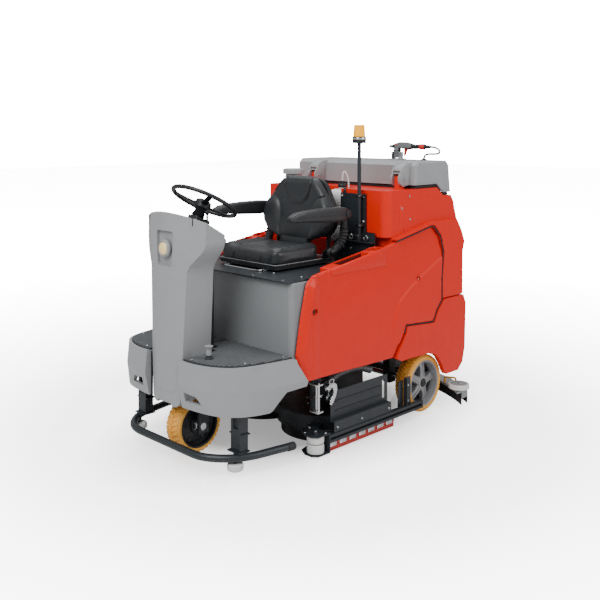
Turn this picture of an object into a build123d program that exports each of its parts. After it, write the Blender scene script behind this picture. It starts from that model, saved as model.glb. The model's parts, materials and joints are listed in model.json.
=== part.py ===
from build123d import *
import os
from math import sin, cos, tan, radians, sqrt

# Ride-on scrubber drier: a three-wheeled sweeping-floor machine with a steered
# drive wheel in front, a seated operator over the battery box, a scrub deck
# between the axles and a squeegee behind.
#
# +X is the machine's left, -Y is forward, +Z is up, and the floor is Z = 0.
# The origin is on the floor at the middle of the overall length and width.
# Lengthwise places are stations in millimetres: they run backwards from a datum
# 30 mm behind the steering axis, and st() turns a station into Y.
# "hand" is +1 on the machine's left and -1 on its right.

os.makedirs("parts", exist_ok=True)

DATUM_Y = -790.0
CUT = Mode.SUBTRACT
HANDS = (("left", 1), ("right", -1))
FIT = 0.05               # radial clearance between a pin and its bore

# Wheels and axles
STEER_S = -30.0          # station of the steering axis and drive wheel
NECK_R = 42.0            # drive unit's turntable neck
REAR_S = 1310.0          # station of the rear axle
DRIVE_R, DRIVE_RIM_R, DRIVE_W = 145.0, 117.0, 110.0
REAR_R, REAR_RIM_R, REAR_W = 170.0, 135.0, 100.0
REAR_TRACK_OUT = 500.0   # X of the outer face of each rear tyre
AXLE_R = 15.0

# Body
RAIL_X = 230.0           # centre of each chassis rail
RAIL_Z = (400.0, 460.0)  # underside and top of the rails
STEP_Z = 535.0           # operator's floor
BOX_TOP = 905.0          # battery box top
DECK_TOP = BOX_TOP + 9   # top of the plate under the seat
SLIDE_X = 150.0          # centre of each seat slide
PANEL_X = 530.0          # outer face of the side panels
TANK_X = 500.0           # half width of the tank above the panels
TANK_TOP = 1330.0
CHAMBER_MOTOR_Z = 1160.0  # top of the vacuum motor's pedestal
LID_TOP = 1490.0
LUGS = (414.0, -268.0)   # X of the lid's two hinge lugs
FILLER = (-300.0, 1002.0)      # X and station of the filler neck
BAY_Z = 1012.0           # floor of the canister bay
POLE = (325.0, 918.0)    # X and station of the beacon pole

# Steering and controls
WHEEL_TILT = 30.0        # steering wheel's lean towards the operator, degrees
HUB_S, HUB_Z = 40.0, 1300.0
WHEEL_D = 380.0
STEER_SHAFT_R = 12.0
COLUMN_WALL = 7.0
DASH_S, DASH_Z = -220.0, 1265.0    # a point on the dash slope
PEDAL_EARS = (-218.0, -132.0)      # X of the accelerator's ears
FOOT_SWITCH = (236.0, -118.0)      # X and station
FOOT_SWITCH_R = 14.0

# Pivots that lie along X: station and height
LID_PIVOT = (1175.0, 1388.0)
PEDAL_PIVOT = (150.0, 557.0)
LEVER_PIVOT = (4.0, 1196.0)
RECLINE = (778.0, 985.0)
ARM_PIVOT = (800.0, 1205.0)
SQUEEGEE_PIVOT = (1525.0, 280.0)
LATCH_PIVOT = (460.0, 330.0)

# Scrub deck and squeegee
ROLLER_S, ROLLER_X, ROLLER_BOLT_R = 372.0, 500.0, 6.0
POST_R, POST_X, POST_S = 12.0, 120.0, 985.0
ROD_R = 8.0              # lift actuator's rod
BRUSH_X, BRUSH_S, BRUSH_R = 248.0, 700.0, 240.0
BRUSH_SHAFT_R = 14.0
BOW_S, BOW_R_NOTE = 759.4, None
BLADE_HALF = 590.0       # half width of the squeegee
END_ROLLER = (556.0, 1582.0)       # X and station of the squeegee's rollers
END_BOLT_R = 6.0


# ------------------------------------------------------------------ helpers
def st(station):
    return DATUM_Y + station


def span(hand, inner, outer):
    """X range between two distances from the centre plane, on one hand."""
    return sorted((hand * inner, hand * outer))


def block(x0, x1, s0, s1, z0, z1, mode=Mode.ADD):
    with Locations(((x0 + x1) / 2, st((s0 + s1) / 2), (z0 + z1) / 2)):
        Box(x1 - x0, s1 - s0, z1 - z0, mode=mode)


def bar_x(x0, x1, s, z, radius, mode=Mode.ADD):
    with Locations(Location(((x0 + x1) / 2, st(s), z), (0, 90, 0))):
        Cylinder(radius, x1 - x0, mode=mode)


def bar_y(s0, s1, x, z, radius, mode=Mode.ADD):
    with Locations(Location((x, st((s0 + s1) / 2), z), (90, 0, 0))):
        Cylinder(radius, s1 - s0, mode=mode)


def bar_z(z0, z1, x, s, radius, mode=Mode.ADD):
    with Locations((x, st(s), (z0 + z1) / 2)):
        Cylinder(radius, z1 - z0, mode=mode)


def side(points, x0, x1, mode=Mode.ADD):
    """A closed (station, height) outline, spread from x0 to x1."""
    with BuildSketch(Plane.YZ.offset(x0)) as outline:
        with BuildLine():
            Polyline(*[(st(s), z) for s, z in points], close=True)
        make_face()
    extrude(outline.sketch, amount=x1 - x0, mode=mode)


def plan_outline(edge):
    """Draw a closed symmetric plan in the open BuildLine from its left edge."""
    (front_x, front_s), (rear_x, rear_s) = edge[0], edge[-1]
    Line((-front_x, st(front_s)), (front_x, st(front_s)))
    Spline(*[(x, st(s)) for x, s in edge])
    Line((rear_x, st(rear_s)), (-rear_x, st(rear_s)))
    Spline(*[(-x, st(s)) for x, s in reversed(edge)])


def save(name, builder):
    part = builder.part
    part.label = name
    export_step(part, "parts/" + name + ".step")


# ------------------------------------------------------------------ chassis
with BuildPart() as chassis_frame:
    # rails with legs down to the rear axle, then the cross members
    for x in (-RAIL_X, RAIL_X):
        block(x - 25, x + 25, 75, 1600, *RAIL_Z)
        block(x - 25, x + 25, REAR_S - 30, REAR_S + 30, 125, RAIL_Z[0])
    for front in (75, 960, 1540):
        block(-205, 205, front, front + 50, *RAIL_Z)
    # head plate for the drive unit, with an upright behind it
    block(-106, 106, -125, 75, 444, 460)
    block(-70, 70, 38, 50, 460, 1085)
    block(-60, 60, 72, 80, 390, 444)
    bar_z(430, 470, 0, STEER_S, NECK_R + FIT, mode=CUT)
    bar_x(-300, 300, REAR_S, REAR_R, AXLE_R, mode=CUT)
    for x in (-POST_X, POST_X):
        bar_z(395, 465, x, POST_S, POST_R + FIT, mode=CUT)
    # rear lugs that hold the squeegee arm's pivot
    for x in (-70, 70):
        block(x - 8, x + 8, 1500, 1560, 250, 400)
    block(-78, 78, 1540, 1590, 396, 402)
    bar_x(-90, 90, *SQUEEGEE_PIVOT, 10 + FIT, mode=CUT)
    # lift actuator's tube between the deck's guide posts
    bar_z(296, 401, 0, POST_S, 24)
    bar_z(290, 388, 0, POST_S, ROD_R + FIT, mode=CUT)
    # hinge post and latch plate at the deck's left front corner
    block(440, 446, 396, 470, 200, 372)
    for z in (350, 208):
        block(440, 486, 396, 430, z, z + 6)
    bar_z(200, 366, 472, 412, 8)
    block(253, 446, 440, 470, 366, 398)
    block(253, 280, 440, 470, 366, 440)
    bar_x(446, 506, *LATCH_PIVOT, 8)
save("chassis_frame", chassis_frame)

with BuildPart() as rear_axle:
    bar_x(-REAR_TRACK_OUT + 14, REAR_TRACK_OUT - 14, REAR_S, REAR_R, AXLE_R)
save("rear_axle", rear_axle)

# Front bumper: one bent tube round the nose, low down, on two posts.
# (X, station) of the tube's centre on the left, from the tail to the nose.
HOOP = [(497, 205), (477, 95), (448, -35), (392, -128), (305, -193), (215, -211)]
HOOP_Z, HOOP_TUBE_R = 92, 19
HOOP_TAIL, HOOP_NOSE = HOOP[0], HOOP[-1]
GLIDE_X, GLIDE_S, GLIDE_TOP = 405, -90, 64

with BuildPart() as front_bumper:
    with BuildLine() as hoop_line:
        Spline(*[(x, st(s), HOOP_Z) for x, s in HOOP], tangents=[(-0.15, -1, 0), (-1, 0, 0)])
        Line((HOOP_NOSE[0], st(HOOP_NOSE[1]), HOOP_Z), (-HOOP_NOSE[0], st(HOOP_NOSE[1]), HOOP_Z))
        Spline(*[(-x, st(s), HOOP_Z) for x, s in reversed(HOOP)],
               tangents=[(-1, 0, 0), (-0.15, 1, 0)])
    with BuildSketch(Plane(origin=(HOOP_TAIL[0], st(HOOP_TAIL[1]), HOOP_Z),
                           z_dir=(-0.15, -1, 0))):
        Circle(HOOP_TUBE_R)
    sweep(path=hoop_line.line)
    for hand in (-1, 1):
        # channel-shaped post between two plates
        block(*span(hand, 362, 432), -82, -74, 112, 402)
        block(*span(hand, 426, 432), -82, -32, 112, 402)
        block(*span(hand, 362, 368), -82, -32, 112, 402)
        block(*span(hand, 350, 442), -96, -26, 112, 118)
        block(*span(hand, 350, 442), -82, -26, 196, 202)
        # arm that carries the post back to the chassis rail
        block(*span(hand, 258, 366), -82, -32, 402, 440)
        block(*span(hand, 257, 282), -32, 200, 402, 440)
        block(*span(hand, 366, 432), -82, -32, 402, 440)
        # window in the post's front
        block(*span(hand, 380, 414), -90, -70, 225, 330, mode=CUT)
        # stub that carries the glide below the tube
        bar_z(GLIDE_TOP, 118, hand * GLIDE_X, GLIDE_S, 10)
save("front_bumper", front_bumper)

with BuildPart() as bumper_glides:
    for hand in (-1, 1):
        bar_z(30, GLIDE_TOP, hand * GLIDE_X, GLIDE_S, 40)
    fillet(bumper_glides.edges().filter_by(GeomType.CIRCLE), 8)
save("bumper_glides", bumper_glides)

# ------------------------------------------------------------- step platform
# Plan edges: (X, station) down the left side, from the nose to the rear.
LOW_EDGE = [(160, -212), (300, -196), (405, -158), (480, -72), (514, 40), (530, 300)]
MID_EDGE = [(160, -238), (326, -214), (446, -134), (506, 0), (546, 200), (556, 300)]
TOP_EDGE = [(160, -226), (318, -206), (435, -130), (490, 10), (522, 180), (534, 300)]
HOLLOW_EDGE = [(152, -200), (300, -184), (398, -146), (470, -62), (502, 40), (512, 300)]
POCKET_EDGE = [(150, -212), (312, -194), (424, -120), (478, 14), (508, 178), (512, 199)]
MAT_EDGE = [(150, -210), (311, -192), (422, -118), (476, 15), (505, 178), (509, 197)]
# Side view of the platform: (station, height)
PLATFORM_SIDE = [(-260, 300), (40, 300), (56, 308), (136, 384), (262, 390), (268, 412),
                 (199, STEP_Z), (-260, STEP_Z)]
POCKET_Z = STEP_Z - 4    # floor of the mat pocket


def platform_section(edge, z):
    with BuildSketch(Plane.XY.offset(z)) as section:
        with BuildLine():
            plan_outline(edge)
        make_face()
    return section.sketch.face()


with BuildPart() as step_platform:
    low = platform_section(LOW_EDGE, 300)
    mid = platform_section(MID_EDGE, 420)
    top = platform_section(TOP_EDGE, STEP_Z)
    loft([low, mid], ruled=True)
    loft([mid, top], ruled=True)
    side(PLATFORM_SIDE, -600, 600, mode=Mode.INTERSECT)
    # hollow underneath
    with BuildSketch(Plane.XY.offset(290)):
        with BuildLine():
            plan_outline(HOLLOW_EDGE)
        make_face()
    extrude(amount=236, mode=CUT)
    # pocket for the mats
    with BuildSketch(Plane.XY.offset(POCKET_Z)):
        with BuildLine():
            plan_outline(POCKET_EDGE)
        make_face()
    extrude(amount=10, mode=CUT)
    # slot for the column, from the nose back to the drive unit
    block(-140, 140, -300, 0, 280, 560, mode=CUT)
    block(-80, 80, 0, 60, 500, 560, mode=CUT)
    # four-sided openings in the nose beside the column
    for hand in (-1, 1):
        with BuildSketch(Plane.XZ.offset(-st(-150))):
            with BuildLine():
                Polyline((hand * 178, 388), (hand * 262, 380), (hand * 292, 342),
                         (hand * 178, 342), close=True)
            make_face()
        extrude(amount=120, mode=CUT)
    # ears that the accelerator hinges between, and the foot switch's guide
    for x in PEDAL_EARS:
        block(x - 4, x + 4, 141, 159, STEP_Z - 8, 567)
    bar_x(-230, -120, *PEDAL_PIVOT, 4 + FIT, mode=CUT)
    bar_z(518, 540, *FOOT_SWITCH, 22)
    bar_z(500, 560, *FOOT_SWITCH, FOOT_SWITCH_R + FIT, mode=CUT)
save("step_platform", step_platform)

with BuildPart() as step_mats:
    with BuildSketch(Plane.XY.offset(POCKET_Z)):
        with BuildLine():
            plan_outline(MAT_EDGE)
        make_face()
    extrude(amount=8)
    # clearance round the column, and the joint between the two mats
    block(-146, 146, -300, 6, 520, 560, mode=CUT)
    block(-86, 86, 0, 66, 520, 560, mode=CUT)
    block(-1, 1, -300, 300, 520, 560, mode=CUT)
    # wells round the foot switch and the accelerator's pivot
    bar_z(520, 560, *FOOT_SWITCH, 24, mode=CUT)
    block(-226, -124, 136, 164, 520, 560, mode=CUT)
save("step_mats", step_mats)

# ------------------------------------------------------------ front column
# Front view of the column's left edge, bottom to top: (X, height)
COLUMN_LEG = ((114, 326), (119, 390), (127, 507), (132, 600), (139, 740), (147, 884), (150, 950))
COLUMN_HEAD = ((150, 950), (162, 992), (198, 1036), (232, 1078), (243, 1130))
# X places at which the curve of the nose is taken
NOSE_X = (-290, -249, -200, -147, -75, 0, 75, 147, 200, 249, 290)


def column_face(inset):
    """Front view of the column, drawn in by inset."""
    with BuildSketch(Plane.XZ.offset(-st(60))) as face:
        with BuildLine():
            Line((-74 + inset, 286 + inset), (74 - inset, 286 + inset))
            for hand in (-1, 1):
                ThreePointArc((hand * (74 - inset), 286 + inset),
                              (hand * (102 - inset), 296 + inset),
                              (hand * (114 - inset), 326))
                for edge in (COLUMN_LEG, COLUMN_HEAD):
                    Spline(*[(hand * (x - inset), z) for x, z in edge])
                Line((hand * (243 - inset), 1130), (hand * (249 - inset), 1300))
            Line((249 - inset, 1300), (-249 + inset, 1300))
        make_face()
    return face.sketch


def dash_slope(station):
    """Height of the dash slope at a station."""
    return DASH_Z - tan(radians(WHEEL_TILT)) * (station - DASH_S)


def column_body(inset):
    """The column as a solid, drawn in by inset."""
    nose = [(x, st(-220 + inset + 0.00127 * x * x)) for x in NOSE_X]
    rear_y = st(-20 - inset)
    with BuildPart() as body:
        extrude(column_face(inset), amount=400)
        with BuildSketch(Plane.XY.offset(200)):
            with BuildLine():
                Spline(*nose)
                Polyline(nose[-1], (290, rear_y), (-290, rear_y), nose[0])
            make_face()
        extrude(amount=1300, mode=Mode.INTERSECT)
        side([(-300, dash_slope(-300) - inset), (100, dash_slope(100) - inset),
              (100, 200), (-300, 200)], -400, 400, mode=Mode.INTERSECT)
    return body.part


def lamp_outline(grow, radius):
    """Draw the lamp recess in the open BuildLine, enlarged by grow."""
    FilletPolyline((-70 - grow, 1168 + grow), (70 + grow, 1168 + grow),
                   (60 + grow, 988 - grow), (-60 - grow, 988 - grow),
                   radius=radius, close=True)


with BuildPart() as column_core:
    add(column_body(COLUMN_WALL))
    block(-60, 60, -300, 0, 260, 300)

with BuildPart() as lamp_pan:
    # floor of the lamp recess
    with BuildSketch(Plane.XZ.offset(-st(-194))):
        with BuildLine():
            lamp_outline(2, 18)
        make_face()
    extrude(amount=5)

with BuildPart() as column_cover:
    add(column_body(0))
    add(column_core.part, mode=CUT)
    # open behind, low down, where the drive unit swings
    block(-112, 112, -120, 0, 200, 476, mode=CUT)
    block(-200, 200, -190, 0, 200, 300, mode=CUT)
    # opening that the dash drops into
    block(-187, 187, -182, 50, 1060, 1400, mode=CUT)
    # lamp recess in the nose, then its floor and its wall
    with BuildSketch(Plane.XZ.offset(-st(-199))):
        with BuildLine():
            lamp_outline(0, 18)
        make_face()
    extrude(amount=60, mode=CUT)
    add(lamp_pan.part)
    with BuildSketch(Plane.XZ.offset(-st(-194))):
        with BuildLine():
            lamp_outline(5, 20)
        make_face()
        with BuildLine():
            lamp_outline(0, 18)
        make_face(mode=CUT)
    extrude(amount=20)
save("column_cover", column_cover)

LAMP_Z, LAMP_FLANGE_R = 1078, 46
with BuildPart() as headlight:
    bar_y(-210, -199, 0, LAMP_Z, LAMP_FLANGE_R)
    bar_y(-238, -210, 0, LAMP_Z, 28)
    bar_y(-239, -233, 0, LAMP_Z, 23, mode=CUT)
    # round the flange's front edge
    circles = headlight.edges().filter_by(GeomType.CIRCLE)
    fillet(circles.filter_by(lambda e: abs(e.radius - LAMP_FLANGE_R) < 0.5
                             and e.center().Y < st(-205)), 4)
save("headlight", headlight)

# ------------------------------------------------------ dash and steering
STEER_AXIS = Vector(0, sin(radians(WHEEL_TILT)), cos(radians(WHEEL_TILT)))
HUB = Vector(0, st(HUB_S), HUB_Z)


def steer_cylinder(drop, radius, height, mode=Mode.ADD):
    """A cylinder on the steering axis, centred a distance drop below the hub."""
    with Locations(Location(HUB - STEER_AXIS * drop, (-WHEEL_TILT, 0, 0))):
        Cylinder(radius, height, mode=mode)


# Sloped panel between the column's cheeks, with the steering boss on it
with BuildPart() as dashboard:
    side([(-179, dash_slope(-179)), (38, dash_slope(38)), (38, dash_slope(38) - 60),
          (-14, dash_slope(-14) - 60), (-179, dash_slope(-179) - 40)], -184, 184)
    fillet(dashboard.edges().filter_by(Axis.X), 4)
    with BuildSketch(Plane(origin=HUB - STEER_AXIS * 185, x_dir=(1, 0, 0), z_dir=STEER_AXIS)):
        RectangleRounded(92, 84, 14)
    extrude(amount=92, taper=6)
    # boss for the direction lever
    bar_x(40, 64, *LEVER_PIVOT, 16)
    bar_x(44, 66, *LEVER_PIVOT, 6 + FIT, mode=CUT)
    steer_cylinder(120, STEER_SHAFT_R + 0.1, 120, mode=CUT)
save("dashboard", dashboard)

with BuildPart() as direction_lever:
    bar_x(46, 64.5, *LEVER_PIVOT, 6)
    bar_x(64.5, 76, *LEVER_PIVOT, 12)
    block(66, 74, 0, 8, LEVER_PIVOT[1], 1246)
    with Locations((70, st(LEVER_PIVOT[0]), 1250)):
        Sphere(11)
save("direction_lever", direction_lever)

with BuildPart() as steering_wheel:
    # rim
    with BuildSketch(Plane(origin=HUB + Vector(WHEEL_D / 2 - 14, 0, 0), x_dir=(1, 0, 0),
                           z_dir=STEER_AXIS.cross(Vector(1, 0, 0)))):
        Ellipse(14, 12)
    revolve(axis=Axis(HUB, STEER_AXIS), revolution_arc=360)
    # hub and shaft
    steer_cylinder(18, 42, 44)
    steer_cylinder(75, STEER_SHAFT_R, 150)
    for angle in (90, 210, 330):
        across, up = cos(radians(angle)), sin(radians(angle))
        outward = Vector(across, up * STEER_AXIS.Z, -up * STEER_AXIS.Y)
        tip = HUB + outward * (WHEEL_D / 2 - 22)
        root = HUB + outward * 30 - STEER_AXIS * 16
        spoke = tip - root
        with BuildSketch(Plane(origin=root, x_dir=STEER_AXIS.cross(spoke), z_dir=spoke)):
            RectangleRounded(30, 13, 5)
        extrude(amount=spoke.length)
save("steering_wheel", steering_wheel)

# --------------------------------------------------------------- pedals
with BuildPart() as accelerator_pedal:
    side([(156, 552), (150, 562), (46, 612), (40, 602)], -210, -140)
    bar_x(-212, -138, *PEDAL_PIVOT, 8)
    bar_x(PEDAL_EARS[0] - 4, PEDAL_EARS[1] + 4, *PEDAL_PIVOT, 4)
save("accelerator_pedal", accelerator_pedal)

with BuildPart() as foot_switch:
    bar_z(512, 590, *FOOT_SWITCH, FOOT_SWITCH_R)
    # flared head
    for z, radius in ((590, FOOT_SWITCH_R), (606, 22)):
        with BuildSketch(Plane.XY.offset(z)):
            with Locations((FOOT_SWITCH[0], st(FOOT_SWITCH[1]))):
                Circle(radius)
    loft()
save("foot_switch", foot_switch)

# ------------------------------------------------------ battery box, deck
with BuildPart() as seat_box:
    block(-492, 492, 205, 930, 470, BOX_TOP)
    fillet(seat_box.edges().filter_by(Axis.Z), 26)
    fillet(seat_box.faces().sort_by(Axis.Z)[-1].edges(), 9)
    block(-484, 484, 213, 922, 460, BOX_TOP - 10, mode=CUT)
save("seat_box", seat_box)

# Four batteries, each with two square terminals on top
BATTERY_TOP = 740
with BuildPart() as battery_pack:
    for x in (-232, 232):
        for s in (330, 580):
            block(x - 215, x + 215, s - 100, s + 120, 470, BATTERY_TOP)
            block(x - 140, x - 110, s, s + 30, BATTERY_TOP, BATTERY_TOP + 12)
            block(x + 110, x + 140, s, s + 30, BATTERY_TOP, BATTERY_TOP + 12)
save("battery_pack", battery_pack)

with BuildPart() as seat_deck_plate:
    block(-486, 486, 178, 932, BOX_TOP + 1, DECK_TOP)
    fillet(seat_deck_plate.edges().filter_by(Axis.Z), 18)
    # the two rails that the seat slides along
    for x in (-SLIDE_X, SLIDE_X):
        block(x - 20, x + 20, 330, 800, DECK_TOP, DECK_TOP + 10)
        block(x - 8, x + 8, 330, 800, DECK_TOP + 10, DECK_TOP + 18)
save("seat_deck_plate", seat_deck_plate)

# ------------------------------------------------------------ side panels
# Side view of a panel: (station, height)
PANEL_SIDE = [
    (268, 401), (274, 540), (288, 776), (321, 893), (352, 928), (420, 945), (550, 958),
    (742, 988), (880, 1010), (1010, 1040), (1175, 1068), (1340, 1101), (1366, 1098),
    (1432, 1034), (1460, 940), (1444, 786), (1444, 652), (1392, 600), (1356, 536),
    (1094, 556), (1078, 512), (984, 386)]
TRAY_SIDE = [(560, 922), (560, 1100), (792, 1100), (792, 922)]
CUP_X, CUP_S, CUP_R = 477, 866, 39


def side_panel(hand):
    with BuildPart() as panel:
        side(PANEL_SIDE, *span(hand, 498, PANEL_X))
        outer_face = panel.faces().sort_by(Axis.X)[-1 if hand > 0 else 0]
        # the outline's short, sharp runs may refuse the fillet
        try:
            fillet(outer_face.edges(), 9)
        except Exception:
            chamfer(outer_face.edges(), 4)
        # ledge along the top beside the seat, with a tray and a cup holder
        side([(476, 917), (476, 949), (926, 1018.75), (926, 917)], *span(hand, 430, 520))
        side(TRAY_SIDE, *span(hand, 447, 506), mode=CUT)
        bar_z(935, 1100, hand * CUP_X, CUP_S, CUP_R, mode=CUT)
        # holes for the fixing screws
        bar_x(*span(hand, 505, 600), 338, 748, 20, mode=CUT)
        bar_x(*span(hand, 515, 600), 1218, 806, 13, mode=CUT)
    return panel


for name, hand in HANDS:
    save(f"{name}_side_panel", side_panel(hand))

# -------------------------------------------------------------- rear tank
# Side views: (station, height)
TANK_SIDE = [
    (955, 1066), (955, TANK_TOP), (1432, TANK_TOP), (1500, 1278), (1580, 1278), (1604, 1240),
    (1660, 1060), (1690, 985), (1668, 925), (1664, 662), (1000, 662), (1000, 1066)]
SHOULDER_SIDE = [
    (1452, 662), (1452, 786), (1469, 940), (1440, 1040), (1372, 1108), (1340, 1112),
    (1010, 1050), (1010, 1058), (1340, 1130), (1600, 1130), (1650, 1060), (1684, 985),
    (1664, 925), (1660, 662)]
PANEL_RECESS_SIDE = [
    (990, 650), (990, 1048), (1010, 1048), (1175, 1080), (1340, 1110), (1370, 1106),
    (1438, 1040), (1466, 940), (1450, 786), (1450, 650)]

with BuildPart() as rear_tank:
    side(TANK_SIDE, -TANK_X, TANK_X)
    # the radius is wider than the overhang beneath, so the fillet may fail
    try:
        upright_edges = rear_tank.edges().filter_by(Axis.Z)
        fillet(upright_edges.filter_by(lambda e: e.center().Y < st(960)), 52)
    except Exception:
        pass
    for hand in (-1, 1):
        # shoulder behind the side panel, and the recess the panel sits in
        side(SHOULDER_SIDE, *span(hand, 420, PANEL_X))
        side(PANEL_RECESS_SIDE, *span(hand, 493, 501), mode=CUT)
        # inner wheel-house wall
        block(*span(hand, 484, 492), 1002, 1440, 480, 664)
    # clear the front below the overhang
    block(-600, 600, 900, 1001, 600, 1064, mode=CUT)
    # recovery chamber, open under the lid, with the vacuum motor's pedestal
    block(-440, 440, 1300, 1560, 700, 1400, mode=CUT)
    block(170, 340, 1400, 1560, 700, CHAMBER_MOTOR_Z)
    # canister bay, open forward and upward
    block(-150, 150, 940, 1100, BAY_Z, 1400, mode=CUT)
    # lugs for the lid hinges
    for x in LUGS:
        side([(1153, TANK_TOP - 5), (1197, TANK_TOP - 5), (1197, LID_PIVOT[1]),
              (1153, LID_PIVOT[1])], x - 18, x + 18)
        bar_x(x - 18, x + 18, *LID_PIVOT, 22)
        bar_x(x - 30, x + 30, *LID_PIVOT, 8 + FIT, mode=CUT)
    # neck under the filler cap
    bar_z(TANK_TOP - 5, 1352, *FILLER, 58)
    bar_z(1200, 1360, *FILLER, 50, mode=CUT)
save("rear_tank", rear_tank)

with BuildPart() as lid_hinge_pins:
    for x in LUGS:
        bar_x(x - 31, x + 31, *LID_PIVOT, 8)
save("lid_hinge_pins", lid_hinge_pins)

with BuildPart() as vacuum_motor:
    bar_z(CHAMBER_MOTOR_Z, 1240, 255, 1480, 70)
    bar_z(1240, 1286, 255, 1480, 52)
save("vacuum_motor", vacuum_motor)

FENDER_SIDE = [
    (1452, 646), (1398, 592), (1362, 528), (1100, 548), (1086, 506), (1000, 382), (1044, 361),
    (1150, 360), (1237, 357), (1300, 358), (1345, 350), (1392, 318), (1430, 270), (1456, 222),
    (1476, 198), (1600, 198), (1650, 240), (1676, 330), (1688, 600), (1664, 654), (1470, 654)]
FENDER_REAR_SIDE = [(1630, 250), (1650, 240), (1676, 330), (1688, 600), (1672, 654), (1630, 654)]

with BuildPart() as rear_fenders:
    for hand in (-1, 1):
        side(FENDER_SIDE, *span(hand, 506, 536))
        # wrap round the rear corner
        side(FENDER_REAR_SIDE, *span(hand, 280, 520))
save("rear_fenders", rear_fenders)

# ------------------------------------------------------- canister, beacon
CAP_X, CAP_S, CAP_TOP = 100, 1022, 1352
# Centreline of the canister's hose beyond the cap: (X, station, height)
CANISTER_HOSE = [(98, 1016, 1400), (60, 1000, 1424), (0, 985, 1400), (-30, 985, 1300),
                 (-34, 1000, 1200), (-34, 1010, 1080)]

with BuildPart() as detergent_canister:
    block(14, 146, 968, 1092, BAY_Z, 1322)
    fillet(detergent_canister.edges().filter_by(Axis.Z), 24)
    fillet(detergent_canister.faces().sort_by(Axis.Z)[-1].edges(), 12)
    bar_z(1318, 1334, CAP_X, CAP_S, 24)
    bar_z(1334, CAP_TOP, CAP_X, CAP_S, 30)
    # hose that loops from the cap down into the bay
    hose_start = (CAP_X, st(CAP_S), CAP_TOP - 1)
    with BuildLine() as loop:
        Spline(hose_start, *[(x, st(s), z) for x, s, z in CANISTER_HOSE],
               tangents=[(0, 0, 1), (0, 0, -1)])
    with BuildSketch(Plane(origin=hose_start, z_dir=(0, 0, 1))):
        Circle(8)
    sweep(path=loop.line)
save("detergent_canister", detergent_canister)

POLE_FOOT_Z = 1046
with BuildPart() as pole_bracket:
    block(160, 352, 940, 952, 1066, 1308)
    block(160, 426, 934, 940, DECK_TOP, 1090)
    block(160, 426, 900, 934, 1032, 1038)
    block(160, 166, 880, 934, DECK_TOP, 1032)
    bar_z(1038, POLE_FOOT_Z, *POLE, 16)
save("pole_bracket", pole_bracket)

with BuildPart() as beacon_pole:
    bar_z(POLE_FOOT_Z, 1602, *POLE, 11)
    bar_z(1602, 1640, *POLE, 39)
    block(310, 340, 925, 940, 1120, 1140)
save("beacon_pole", beacon_pole)

with BuildPart() as beacon_lens:
    for z, radius in ((1640, 35), (1709, 31)):
        with BuildSketch(Plane.XY.offset(z)):
            with Locations((POLE[0], st(POLE[1]))):
                Circle(radius)
    loft()
    fillet(beacon_lens.edges().sort_by(Axis.Z)[-1], 4)
save("beacon_lens", beacon_lens)

# ------------------------------------------------------------------ screws
with BuildPart() as cover_screws:
    for hand in (-1, 1):
        for s, z in ((1090, 1226), (1160, 1292), (1166, 1158)):
            bar_x(*span(hand, TANK_X, TANK_X + 3), s, z, 7)
    for x in (-430, -200, 200, 430):
        bar_z(DECK_TOP, DECK_TOP + 5, x, 205, 8)
save("cover_screws", cover_screws)

# ------------------------------------------------------------------ wheels
HUB_SHAFT_R = 20
with BuildPart() as drive_unit:
    # turntable neck, head plate and the two legs beside the wheel
    bar_z(420, 470, 0, STEER_S, NECK_R)
    bar_z(396, 420, 0, STEER_S, 86)
    block(-84, 84, -80, 20, 372, 398)
    block(-84, -70, -75, 15, 96, 398)
    block(70, 84, -62, 2, 110, 398)
    # traction motor on the right leg
    bar_x(-108, -84, STEER_S, DRIVE_R, 58)
    bar_x(-86, 90, STEER_S, DRIVE_R, HUB_SHAFT_R + FIT, mode=CUT)
save("drive_unit", drive_unit)


def ring(x0, x1, s, outer_r, inner_r, shoulder):
    """Tyre standing on the floor: a ring about X with rounded shoulders."""
    with BuildPart() as tyre:
        bar_x(x0, x1, s, outer_r, outer_r)
        fillet(tyre.edges().filter_by(GeomType.CIRCLE), shoulder)
        bar_x(x0 - 1, x1 + 1, s, outer_r, inner_r, mode=CUT)
    return tyre


save("drive_tyre", ring(-DRIVE_W / 2, DRIVE_W / 2, STEER_S, DRIVE_R, DRIVE_RIM_R, 8))

with BuildPart() as drive_rim:
    # dished on both faces, leaving a web between
    bar_x(-52, 52, STEER_S, DRIVE_R, DRIVE_RIM_R)
    bar_x(24, 53, STEER_S, DRIVE_R, DRIVE_RIM_R - 11, mode=CUT)
    bar_x(-53, -10, STEER_S, DRIVE_R, DRIVE_RIM_R - 11, mode=CUT)
    # hub and shaft
    bar_x(-30, 40, STEER_S, DRIVE_R, 42)
    bar_x(-84, 84, STEER_S, DRIVE_R, HUB_SHAFT_R)
    # windows in the web
    with BuildSketch(Plane.YZ.offset(-20)):
        with Locations((st(STEER_S), DRIVE_R)):
            with PolarLocations(75, 5):
                RectangleRounded(44, 34, 8)
    extrude(amount=60, mode=CUT)
save("drive_rim", drive_rim)


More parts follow.
